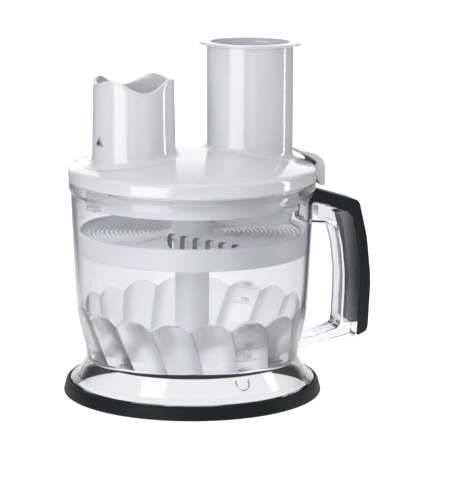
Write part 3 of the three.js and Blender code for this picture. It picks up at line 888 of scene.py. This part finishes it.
@dataclass
class Handle:
    """The clear channel of the handle and the black grip that closes it."""

    axis: float
    rim: float
    radius: float = 0.084
    reach: float = 0.0443
    grip: float = 0.0073
    depth: float = 0.0142
    half: float = 0.01
    wall: float = 0.0023
    foot: float = 0.03
    rib_half: float = 0.0055
    rib_depth: float = 0.008

    def _up(self, share: float) -> float:
        """Height at a share of the way from the handle's foot to its head."""
        return self.foot + share * (self.rim - 0.02 - self.foot)

    def _seam(self, shift: float) -> list[Point]:
        """Draws the line where grip and channel meet, from the bowl down to the foot.

        Args:
            shift: how far the line is moved towards the bowl.

        Returns:
            The line.
        """
        r, z = self.axis + self.radius, self.rim
        return [
            (r, z - 0.0192),
            (r + 0.013, z - 0.0223),
            (r + 0.0272 - shift, z - 0.028),
            (r + 0.0303 - shift, z - 0.0305),
            (r + 0.0334 - shift, self._up(0.77)),
            (r + self.reach - self.grip - shift, self._up(0.44)),
            (r + 0.0346 - shift, self.foot),
        ]

    def channel(self) -> bpy.types.Object:
        """Makes the clear channel, which runs into the bowl's wall at both ends.

        Returns:
            The channel.
        """
        inner = self.axis + self.radius + self.reach - self.grip - self.depth
        r, low = self.axis + self.radius, Bowl.waist[1]
        outline = [
            (r - 0.0034, self.rim - 0.0195),
            *[(x, z - GAP) for x, z in self._seam(GAP)[1:]],
            (r + 0.0006, low - 0.0018),
            (self.axis + 0.0745, low - 0.0047),
            (self.axis + 0.0698, low + 0.0005),
            (self.axis + 0.0705, low + 0.0058),
            (r + 0.0018, low + 0.0068),
            (inner - 0.0012, self._up(0.08)),
            (inner, self._up(0.33)),
            (inner, self._up(0.49)),
            (inner - 0.002, self._up(0.68)),
            (inner - 0.0059, self._up(0.83)),
            (r - 0.0034, self.rim - 0.034),
        ]
        w = self.wall
        pocket = [
            (r + 0.005, self.rim - 0.01),
            (r + 0.005, self.rim - 0.034 + w),
            (inner - 0.0059 + w, self._up(0.83) + w),
            (inner - 0.002 + w, self._up(0.68)),
            (inner + w, self._up(0.49)),
            (inner + w, self._up(0.33)),
            (inner - 0.0012 + w, self._up(0.08) + w),
            (r + self.reach, self._up(0.08) + w),
            (r + self.reach + 0.005, self.rim - 0.01),
        ]
        body = extrude("channel", rounded(outline, radius=0.004), -self.half, self.half, upright=False)
        body = soften(body, width=0.0009, angle=60)
        hollow = extrude("pocket", rounded(pocket, radius=0.003), w - self.half, self.half - w, upright=False)
        return combine(body, hollow, Cut.TAKE)

    def build_grip(self) -> None:
        """Makes and dresses the black grip."""
        r = self.axis + self.radius
        back = [
            (r + 0.0417, self.foot + 0.0032),
            (r + 0.0428, self._up(0.07)),
            (r + self.reach, self._up(0.38)),
            (r + self.reach - 0.0003, self._up(0.47)),
            (r + 0.0413, self._up(0.73)),
            (r + 0.0358, self.rim - 0.0225),
            (r + 0.0342, self.rim - 0.02),
            (r - 0.0004, self.rim - 0.0091),
        ]
        outline = rounded([*self._seam(0), *back], radius=0.0022, steps=5)
        outer = extrude("grip_moulding", outline, -self.half, self.half, upright=False)
        outer = soften(outer, width=0.0016, segments=4, angle=55)
        end, foot = r + 0.0352, self._up(0.13)
        inside, outside = self._seam(self.rib_depth)[2:6], self._seam(-0.001)[2:6]
        rib_line = [*inside, (end - self.rib_depth, foot), (end + 0.001, foot), *reversed(outside)]
        rib = extrude("rib", rib_line, -self.rib_half, self.rib_half, upright=False)
        body = fit(combine(outer, rib, Cut.JOIN), Body.BASE, BLACK, ["handle_grip"])
        # the rib's sides get a painted shade, darker towards the grip
        body.data.materials.append(painted_shade_copy(RIB.material(), "graded_grip_rib", r + 0.0255, r + 0.036, PAINTED_RIB_SHADE))
        for face in body.data.polygons:
            if abs(abs(face.center.y) - self.rib_half) < 0.0001 and abs(face.normal.y) > 0.9:
                face.material_index = 1


@dataclass
class BaseRing:
    """The rubber ring that the bowl stands on."""

    axis: float
    radius: float
    height: float
    embed: float = 0.006
    inset: float = 0.0043

    def build(self) -> None:
        """Makes and dresses the ring."""
        r, h = self.radius, self.height
        edge = r - self.inset
        profile = [
            (r - 0.0091, 0.0),
            (r - 0.0004, 0.0),
            (r, 0.0009),
            (r - 0.0018, h - 0.0011),
            (r - 0.0027, h),
            (edge + GAP, h),
            (edge + GAP, h - self.embed - GAP),
            (edge - 0.0026, h - self.embed - GAP),
            (edge - 0.0026, h - 0.0015),
            (r - 0.0091, h - 0.0015),
        ]
        made = revolve("ring_moulding", rounded(profile, radius=0.0007, steps=3), FULL_TURN, (self.axis, 0))
        fit(made, Body.BASE, RUBBER, ["base_ring"])


@dataclass
class Lid:
    """The white lid with its two towers, the gear housing under it and the interlock lever."""

    axis: float
    bottom: float
    radius: float = 0.084
    rim_height: float = 0.0089
    dome_rise: float = 0.0115
    wall: float = 0.0025
    tower_x: float = -0.0414
    tower_radius: float = 0.027
    tower_top: float = 0.2178
    tower_wall: float = 0.0025
    long_valley: float = 0.008
    short_valley: float = 0.003
    crest: float = 39.0
    tube_x: float = 0.0415
    tube_long: float = 0.0295
    tube_short: float = 0.0255
    tube_turn: float = math.radians(-35)
    tube_wall: float = 0.0022
    fillet: float = 0.005
    rim_band: float = 0.03
    skirt: float = 0.072
    lugs: tuple[float, ...] = (-169, -49, 71)
    mark_angle: float = math.radians(-163)
    mark_height: float = 0.176

    def dome(self, distance: float) -> float:
        """Finds the height of the dome's top.

        Args:
            distance: a distance from the axis.

        Returns:
            The height there.
        """
        edge = self.radius - 0.0015
        sphere = (edge**2 + self.dome_rise**2) / (2 * self.dome_rise)
        apex = self.bottom + self.rim_height + self.dome_rise
        return apex - sphere + math.sqrt(sphere**2 - min(distance, edge) ** 2)

    def _shell(self) -> bpy.types.Object:
        """Makes the dome and rim.

        Returns:
            The dome and rim as one solid.
        """
        r, low, high = self.radius, self.bottom, self.bottom + self.rim_height
        spread = [k / 16 * (r - 0.0045) for k in range(17)]
        under = [(d, self.dome(d) - self.wall) for d in spread]
        over = [(d, self.dome(d)) for d in reversed(spread)]
        inside = [(r - self.wall, high - 0.003), (r - self.wall, low)]
        outside = [(r - 0.0003, low), (r, low + 0.0004), (r, high - 0.0024)]
        shoulder = [(r - 0.0004, high - 0.001), (r - 0.0014, high)]
        return revolve("lid_moulding", [*under, *inside, *outside, *shoulder, *over], FULL_TURN, (self.axis, 0))

    def _rim_dip(self, angle: float) -> float:
        """Finds how far the tower's rim drops below its crests.

        Args:
            angle: an angle round the tower.

        Returns:
            The drop there.
        """
        line = abs((math.degrees(angle) + 90) % 180 - 90)
        if line < self.crest:
            return self.short_valley * (1 + math.cos(math.pi * line / self.crest)) / 2
        return self.long_valley * (1 - math.cos(math.pi * (line - self.crest) / (90 - self.crest))) / 2

    def _foot(self, centre: Point, radius: Callable[[float], float]) -> Shape:
        """A rule that lays the foot of a tower on the dome with a fillet.

        Args:
            centre: where the tower stands, from the axis.
            radius: the tower's outer radius at an angle.

        Returns:
            A rule for revolve. Its radius input is a share along the profile, coded by place.
        """

        def lay(distance: float, angle: float) -> float:
            """Height of the dome at a distance and an angle from the tower's middle."""
            x, y = centre[0] + distance * math.cos(angle), centre[1] + distance * math.sin(angle)
            return self.dome(math.hypot(x, y))

        def shape(code: float, height: float, angle: float) -> tuple[float, float, float]:
            """Lays one corner: codes over 2 run down the fillet, the others are offsets from the wall."""
            outer = radius(angle)
            if code > 2:
                swing = (code - 3) * math.pi / 2
                distance = outer + self.fillet * (1 - math.cos(swing))
                return distance, lay(distance, angle) + self.fillet * (1 - math.sin(swing)) - 0.00003, angle
            return outer + (code - 1), height, angle

        return shape

    def _tower(self) -> bpy.types.Object:
        """Makes the coupling tower with its wavy rim.

        Returns:
            The tower.
        """
        top, low = self.tower_top, self.dome(0.07) - self.wall
        profile = self._tube_profile(top, low, self.tower_wall)
        foot = self._foot((self.tower_x, 0.0), lambda angle: self.tower_radius)

        def shape(code: float, height: float, angle: float) -> tuple[float, float, float]:
            """Adds the tower's draft and its wavy rim to a corner."""
            r, z, turn = foot(code, height, angle)
            draft = 0.0013 * (top - z) / (top - low)
            share = max(0.0, (z - top + self.rim_band) / self.rim_band)
            return r + draft, z - self._rim_dip(angle) * min(1.0, share), turn

        return revolve("tower", profile, TUBE_TURN, (self.axis + self.tower_x, 0), shape)

    def _tube_profile(self, top: float, low: float, wall: float) -> list[Point]:
        """Draws a tube on the dome: coded fillet, outer wall, rounded rim, inner wall.

        Args:
            top: the height of its rim.
            low: the height that it starts from, inside the lid.
            wall: its thickness.

        Returns:
            The profile, whose first numbers are codes for the rule of _foot.
        """
        fillet = [(3 + k / 10, 0.0) for k in range(10, -1, -1)]
        climb = self.rim_band - 0.001
        reach = [(1.0, top - self.rim_band + climb * k / 8) for k in range(9)]
        rim = [(1 - 0.0003, top - 0.0003), (1 - 0.0009, top)]
        rim += [(1 - wall + 0.0009, top), (1 - wall + 0.0003, top - 0.0003)]
        inner = [(1 - wall, top - 0.001 - climb * k / 8) for k in range(9)]
        return [(1.0, low), *fillet, *reach, *rim, *inner, (1 - wall, low)]

    def _feed_tube(self, low: float, top: float) -> list[bpy.types.Object]:
        """Makes the feed tube and its pointed flange.

        Args:
            low: the height that it starts from, inside the lid.
            top: the height of its flange.

        Returns:
            The tube and the flange.
        """
        centre = (self.axis + self.tube_x, 0.0)

        def radius(angle: float) -> float:
            """Outer radius of the oval tube at an angle."""
            a = angle - self.tube_turn
            return 1 / math.sqrt((math.cos(a) / self.tube_long) ** 2 + (math.sin(a) / self.tube_short) ** 2)

        profile = self._tube_profile(top - 0.0001, low, self.tube_wall)
        tube = revolve("tube", profile, TUBE_TURN, centre, self._foot((self.tube_x, 0.0), radius))

        def leaf(code: float, height: float, angle: float) -> tuple[float, float, float]:
            """Lays one corner of the flange, which is widest at the oval's two ends."""
            tip = 0.0018 + 0.004 * abs(math.cos(angle - self.tube_turn)) ** 6
            return radius(angle) + (code - 1) * tip - (self.tube_wall if code < 1 else 0), height, angle

        edge = [(0.999, top - 0.002), (1.85, top - 0.002), (2.0, top - 0.0014)]
        edge += [(2.0, top - 0.0006), (1.85, top), (0.999, top)]
        return [tube, revolve("flange", edge, TUBE_TURN, centre, leaf)]

    def build(self) -> None:
        """Makes and dresses the lid, its housing and its lever."""
        low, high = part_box("lid_cover")
        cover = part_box("gear_cover")
        centre = (self.axis + self.tube_x, 0.0)
        bore = oval(self.tube_long - 0.001, self.tube_short - 0.001, self.tube_turn, centre)
        shell = combine(self._shell(), extrude("bore", bore, low.z - 0.01, high.z), Cut.TAKE)
        lid = join(shell, [self._tower(), *self._feed_tube(low.z, high.z)])
        fit(lid, Body.LID, WHITE, ["lid_cover"])
        self._tower_mark()
        self._housing(cover[0].z, cover[1].z, centre)
        self._lever()

    def _tower_mark(self) -> None:
        """Sets a small three-cornered mark on the side of the coupling tower, whose dark middle is painted
        recess shade.
        """
        parts = (("tower_mark", 0.0046, 0.0007, MARK), ("tower_mark_middle", 0.0022, 0.0009, PAINTED_RECESS_SHADOW))
        for name, size, out, finish in parts:
            outline = [(-size, -size * 0.55), (size, -size * 0.55), (0.0, size * 0.75)]
            made = extrude(name, rounded(outline, radius=size * 0.3, steps=3), -0.0012, out)
            for corner in made.data.vertices:
                across, up, proud = corner.co
                radius = self.tower_radius + 0.0009 + proud
                angle = self.mark_angle + across / radius
                middle = self.axis + self.tower_x
                corner.co = (middle + radius * math.cos(angle), radius * math.sin(angle), self.mark_height + up)
            fit(made, Body.LID, finish, [])

    def _housing(self, low: float, high: float, tube: Point) -> None:
        """Makes and dresses the gear housing whose skirt hangs in the bowl.

        Args:
            low: the height of its underside.
            high: the height of its top.
            tube: the middle of the feed tube.
        """
        r, w = self.skirt, self.tube_wall
        profile = [(0.0075, low), (r, low), (r, high), (r - w, high), (r - w, low + w), (0.0075, low + w)]
        body = revolve("gear_housing", rounded(profile, radius=0.0009, steps=3), FULL_TURN, (self.axis, 0))
        hole = oval(self.tube_long + GAP, self.tube_short + GAP, self.tube_turn, tube)
        body = combine(body, extrude("hole", hole, low - 0.01, high + 0.01), Cut.TAKE)
        for bearing in self.lugs:
            turn = math.radians(bearing)
            corners = [(r - 0.001, -0.005), (r + 0.006, -0.005), (r + 0.006, 0.005), (r - 0.001, 0.005)]
            c, t = math.cos(turn), math.sin(turn)
            turned = [(self.axis + x * c - y * t, x * t + y * c) for x, y in corners]
            lug = extrude("lug", turned, low + 0.0001, low + 0.0035)
            body = combine(body, soften(lug, width=0.0006, segments=2), Cut.JOIN)
        fit(body, Body.LID, WHITE_SATIN, ["gear_cover"])

    def _lever(self) -> None:
        """Makes and dresses the interlock lever with its hollow, ribbed hood."""
        low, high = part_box("interlock_lever")
        face, rim, half, w = high.x, low.z + 0.0079, high.y, 0.0018
        outer = [
            (face - 2 * w, rim - 0.0079),
            (face, rim - 0.0079),
            (face, rim + 0.0065),
            (face - 0.0016, rim + 0.0105),
            (face - 0.007, rim + 0.0146),
            (face - 0.018, rim + 0.0172),
            (face - 0.0184, rim + 0.0153),
            (face - 0.012, rim + 0.013),
            (face - 0.006, rim + 0.0086),
            (face - 0.007, rim + 0.007),
            (face - 0.007, rim + 0.0005),
        ]
        hollow = [
            (face - 0.04, rim - 0.009),
            (face - w, rim - 0.009),
            (face - w, rim + 0.006),
            (face - 0.0038, rim + 0.009),
            (face - 0.0084, rim + 0.0124),
            (face - 0.017, rim + 0.0145),
            (face - 0.04, rim + 0.0145),
        ]
        body = extrude("lever_moulding", rounded(outer, radius=0.0025), -half, half, upright=False)
        body = soften(body, width=0.0009, angle=55)
        body = combine(body, extrude("hollow", hollow, w - half, half - w, upright=False), Cut.TAKE)
        rib = [
            (face - 0.0175, rim + 0.0146),
            (face - 0.0084, rim + 0.0125),
            (face - 0.0036, rim + 0.0088),
            (face - 0.006, rim + 0.0088),
            (face - 0.0118, rim + 0.0131),
        ]
        thin, spread = 0.0006, 0.0035
        ribs = [extrude("rib", rib, side - thin, side + thin, upright=False) for side in (-spread, spread)]
        body = join(body, ribs)
        fit(body, Body.INTERLOCK, WHITE, ["interlock_lever"])


@dataclass
class Disc:
    """The ribbed disc on its column, with the insert and its row of bright teeth."""

    axis: float
    rib_pitch: float = 0.0031
    rib_height: float = 0.0009
    turn: float = math.radians(-60.7)
    offset: float = 0.028
    teeth: int = 6
    pitch: float = 0.0112
    start: float = 0.0062
    tooth: float = 0.0034
    thickness: float = 0.0009
    inside: float = 0.008
    outside: float = 0.0275
    skew: float = 0.024
    rim_height: float = 0.0151
    drop: float = 0.0034
    plate: float = 0.0022
    crease: float = 50

    def _place(self, along: float, out: float) -> Point:
        """A point given along the row of teeth and out from the axis."""
        c, s = math.cos(self.turn), math.sin(self.turn)
        return self.axis + along * c + out * s, along * s - out * c

    def _puck(self, radius: float, low: float, high: float) -> bpy.types.Object:
        """A round solid about the axis."""
        return revolve("edge", [(0, low), (radius, low), (radius, high), (0, high)], 180, (self.axis, 0))

    def _patch(self, name: str, grow: float, low: float, high: float, edge: float) -> bpy.types.Object:
        """Makes a solid with the insert's outline.

        Args:
            name: the piece's name.
            grow: how much larger than the insert it is.
            low: the height of its underside.
            high: the height of its top.
            edge: the radius of the disc.

        Returns:
            The solid.
        """
        near, far = self.offset - self.inside - grow, self.offset + self.outside + grow
        corners = [(-0.001 - grow, near), (edge, near), (edge, far), (-0.001 - grow, far)]
        body = extrude(name, [self._place(a, b) for a, b in corners], low, high)
        return combine(body, self._puck(edge - 0.0032 + grow, low - 0.001, high + 0.001), Cut.KEEP)

    def build(self) -> None:
        """Makes and dresses the disc, the insert, the teeth and the column."""
        low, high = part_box("insert_carrier")
        edge = (high.x - low.x) / 2
        top = low.z + self.rim_height
        plate, inner = top - self.drop, edge - 0.002
        crest, outermost, innermost = plate + self.rib_height, inner - 0.0025, 0.0185
        ribs: list[Point] = []
        for k in range(int((outermost - innermost) / self.rib_pitch)):
            r = outermost - k * self.rib_pitch
            ribs += [(r + 0.0008, plate), (r + 0.0003, crest), (r - 0.0003, crest), (r - 0.0008, plate)]
        rim = [(inner, plate - self.plate), (inner, low.z), (edge, low.z)]
        rim += [(edge, top - 0.0006), (edge - 0.0006, top)]
        hub = [(0.0146, plate), (0.0142, plate + 0.003), (0.0126, plate + 0.01)]
        hub += [(0.0108, high.z - 0.0006), (0.0102, high.z)]
        under = [(0.0091, high.z), (0.0091, low.z), (0.0131, low.z), (0.0131, plate - self.plate)]
        profile = [*under, *rim, (inner + 0.0006, top), (inner, top - 0.0006), (inner, plate), *ribs, *hub]
        body = revolve("disc_moulding", profile, FULL_TURN, (self.axis, 0), sharp=self.crease)
        window = self._patch("window", GAP, plate - 0.004, plate + 0.002, edge)
        body = combine(body, window, Cut.TAKE, self.crease)
        fit(body, Body.CARRIER, WHITE_SATIN, ["insert_carrier"])
        self._insert(plate, edge)
        self._teeth()
        self._column()

    def _insert(self, plate: float, edge: float) -> None:
        """Makes and dresses the insert, whose long slanted opening lets the teeth up.

        Args:
            plate: the height of the disc's plate.
            edge: the radius of the disc.
        """
        body = self._patch("insert_moulding", -0.0001, plate - 0.002, plate + 0.0002, edge)
        first, last = self.start - self.tooth, self.start + (self.teeth - 1) * self.pitch + self.tooth
        near, far = self.offset - 0.0032, self.offset + 0.024
        slant = ((last, far), (first + self.skew, far), (first, self.offset + 0.003))
        corners = [self._place(a, b) for a, b in ((first, near), (last, near), *slant)]
        opening = extrude("opening", corners, plate - 0.005, plate + 0.005)
        opening = combine(opening, self._puck(edge - 0.0056, plate - 0.006, plate + 0.006), Cut.KEEP)
        body = combine(body, opening, Cut.TAKE)
        fit(body, Body.INSERT, WHITE_SATIN, ["insert_frame"])

    def _teeth(self) -> None:
        """Makes and dresses the comb: an upright strip, with teeth that rise and bend over inwards."""
        low, tip = (corner.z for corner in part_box("shredding_blade"))
        outer, inner = self.offset + 0.002, self.offset + 0.002 - self.thickness
        places = [self.start + k * self.pitch for k in range(self.teeth)]
        half, strip_top = self.tooth / 2, low + 0.0026
        section = [(inner, low), (outer, low), (outer, strip_top), (inner, strip_top)]
        strip = self._bar("tooth_strip", section, places[0] - half, places[-1] + half)
        outline = [
            (inner, low + 0.0005),
            (outer, low + 0.0005),
            (outer, tip - 0.0026),
            (outer - 0.0008, tip - 0.0008),
            (outer - 0.0026, tip),
            (outer - 0.0046, tip - 0.0006),
            (outer - 0.0044, tip - 0.0011),
            (outer - 0.0026, tip - self.thickness),
            (inner - 0.0005, tip - 0.0015),
            (inner, tip - 0.003),
        ]
        outline = rounded(outline, radius=0.0006, steps=3)
        bars = [self._bar("tooth", outline, place - half, place + half) for place in places]
        fit(join(strip, bars), Body.INSERT, CHROME, ["shredding_blade"])

    def _bar(self, name: str, outline: Sequence[Point], start: float, end: float) -> bpy.types.Object:
        """A solid along the row of teeth.

        Args:
            name: the piece's name.
            outline: (distance out from the axis, height) corners.
            start: where it starts along the row.
            end: where it ends.

        Returns:
            The new object.
        """
        count = len(outline)
        corners = [(*self._place(along, out), z) for along in (start, end) for out, z in outline]
        faces = [tuple(range(count)), tuple(range(count, 2 * count))]
        faces += [(i, (i + 1) % count, count + (i + 1) % count, count + i) for i in range(count)]
        return mesh_object(name, corners, faces)

    def _column(self) -> None:
        """Makes and dresses the column that turns the disc."""
        low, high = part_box("drive_stem")
        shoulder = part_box("insert_carrier")[0].z - GAP
        r, bore, neck, bore_top = (high.x - low.x) / 2, 0.0079, 0.0084, low.z + 0.004
        profile = [(0.0, bore_top), (bore, bore_top), (bore, low.z), (r, low.z), (r, shoulder)]
        profile += [(neck, shoulder), (neck, high.z), (0.0, high.z)]
        made = revolve("column_moulding", rounded(profile, radius=0.0006, steps=3), 96, (self.axis, 0))
        fit(made, Body.STEM, WHITE_SATIN, ["drive_stem"])


@dataclass
class Works:
    """The gears, pins, bushes and screws, which keep the frame's own shapes."""

    def build(self) -> None:
        """Dresses each of the frame's nodes that is still shown."""
        finishes = {"gear_plastic": GEAR, "plain_steel": STEEL, "bush_brass": BRASS, "black_plastic": BLACK}
        for part in frame["record"]["subparts"]:
            node = frame["nodes"][part["node"]]
            if part["material_slot"] in finishes and not node.hide_render:
                for index in range(max(1, len(node.material_slots))):
                    node.material_slots[index].material = finishes[part["material_slot"]].material()
                LOG.info("%s: keeps its shape", part["node"])


# ---- Studio -------------------------------------------------------------------------------
@dataclass
class Studio:
    """Pale floor, soft light and camera."""

    axis: float
    azimuth: float = math.radians(-19)
    pitch: float = math.radians(11.3)
    away: float = 1.674
    aim: float = 0.0972
    lens: float = 180.0
    shift: float = 0.0656
    lit_height: float = 0.13

    def _lamp(
        self, name: str, bearing: float, height: float, away: float, size: Point, power: float
    ) -> bpy.types.Object:
        """Sets one soft lamp that faces the bowl.

        Args:
            name: the lamp's name.
            bearing: degrees to the right of the camera, seen from the bowl.
            height: height of the lamp's middle.
            away: distance from the bowl.
            size: width and height of the lamp.
            power: watts.

        Returns:
            The lamp.
        """
        data = bpy.data.lights.new(name, "AREA")
        data.shape, data.size, data.size_y, data.energy = "RECTANGLE", size[0], size[1], power
        lamp = bpy.data.objects.new(name, data)
        bpy.context.scene.collection.objects.link(lamp)
        angle = self.azimuth - math.pi / 2 + math.radians(bearing)
        lamp.location = (self.axis + away * math.cos(angle), away * math.sin(angle), height)
        facing = Vector((self.axis, 0, self.lit_height)) - lamp.location
        lamp.rotation_euler = facing.to_track_quat("-Z", "Y").to_euler()
        return lamp

    def _world(self) -> None:
        """Lights the room: bright behind the object and above it, dim at the sides, white to the camera."""
        world = bpy.data.worlds.new("studio")
        bpy.context.scene.world = world
        world.use_nodes = True
        tree = world.node_tree
        back = tree.nodes["Background"]
        back.inputs["Color"].default_value = (1, 1, 1, 1)
        way = tree.nodes.new("ShaderNodeTexCoord").outputs["Generated"]
        rear = along(tree, way, (-math.sin(self.azimuth), math.cos(self.azimuth), 0.0))
        behind = ranged(tree, rear, reach=(0.72, 0.97), level=(0.0, 1.2), ramp=Ramp.SMOOTH)
        up = along(tree, way, (0.0, 0.0, 1.0))
        above = ranged(tree, up, reach=(0.1, 0.8), level=(0.07, 0.72), ramp=Ramp.SMOOTH)
        level = self._white_to_camera(tree, calc(tree, Step.ADD, behind, above))
        tree.links.new(level, back.inputs["Strength"])

    def _white_to_camera(self, tree: Tree, level: Socket) -> Socket:
        """Makes a brightness at least 1 to the camera, and leaves it for all other rays.

        Args:
            tree: the nodes of a material or of the world.
            level: the brightness.

        Returns:
            The changed brightness.
        """
        which = tree.nodes.new("ShaderNodeLightPath")
        return calc(tree, Step.LARGER, level, which.outputs["Is Camera Ray"])

    def _floor(self) -> None:
        """Makes the pale floor: white to the camera, and a bright strip behind the object to all else."""
        side = 6.0
        floor = extrude("floor", [(-side, -side), (side, -side), (side, side), (-side, side)], -0.02, -0.0002)
        Finish("pale_floor", "9C9C9F", "97979A", (0.7, 0.8), grain=300.0).dress(floor)
        tree = floor.data.materials[0].node_tree
        across = along(tree, position(tree), (math.cos(self.azimuth), math.sin(self.azimuth), 0.0))
        off = calc(tree, Step.SIZE, across)
        glow = ranged(tree, off, reach=(0.14, 0.36), level=(0.72, 0.03), ramp=Ramp.SMOOTH)
        surface = tree.nodes["Principled BSDF"]
        surface.inputs["Emission Color"].default_value = (1, 1, 1, 1)
        tree.links.new(self._white_to_camera(tree, glow), surface.inputs["Emission Strength"])

    def rake(self, names: Sequence[str]) -> None:
        """Sets a low lamp that only brings out the ribs and teeth of the disc.

        Args:
            names: the pieces that it lights.
        """
        lamp = self._lamp("rake", bearing=-150, height=0.3, away=0.9, size=(0.9, 0.2), power=5.5)
        lamp.data.use_shadow = False
        lamp.visible_camera = lamp.visible_transmission = False
        lit = bpy.data.collections.new("lit_by_rake")
        for name in names:
            lit.objects.link(bpy.data.objects[name])
        lamp.light_linking.receiver_collection = lit

    def build(self) -> None:
        """Makes the floor, lamps, world and camera."""
        self._floor()
        self._lamp("key", bearing=-38, height=0.42, away=1.1, size=(0.75, 0.9), power=6.2)
        self._lamp("strip", bearing=94, height=0.25, away=1.1, size=(0.13, 0.9), power=2.6)
        self._lamp("fill", bearing=30, height=0.3, away=1.5, size=(0.9, 0.5), power=1.0)
        self._lamp("top", bearing=180, height=1.2, away=0.5, size=(1.0, 0.8), power=1.6)
        self._world()
        data = bpy.data.cameras.new("camera")
        data.lens, data.shift_x = self.lens, self.shift
        camera = bpy.data.objects.new("camera", data)
        bpy.context.scene.collection.objects.link(camera)
        height = self.aim + self.away * math.tan(self.pitch)
        sine, cosine = math.sin(self.azimuth), math.cos(self.azimuth)
        camera.location = (self.axis + self.away * sine, -self.away * cosine, height)
        camera.rotation_euler = (math.pi / 2 - self.pitch, 0, self.azimuth)
        bpy.context.scene.camera = camera


def main() -> None:
    """Builds the sub-assemblies in order."""
    logging.basicConfig(level=logging.INFO, format="%(message)s")
    bpy.context.scene.view_settings.view_transform = "Standard"
    ring_low, ring_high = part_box("base_ring")
    axis = (ring_low.x + ring_high.x) / 2
    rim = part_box("bowl")[1].z
    studio = Studio(axis)
    studio.build()
    Bowl(axis, rim).build()
    BaseRing(axis, (ring_high.x - ring_low.x) / 2, ring_high.z).build()
    Disc(axis).build()
    studio.rake(["disc_moulding", "insert_moulding", "tooth_strip"])
    Lid(axis, rim + GAP).build()
    Works().build()


if __name__ == "__main__":
    main()
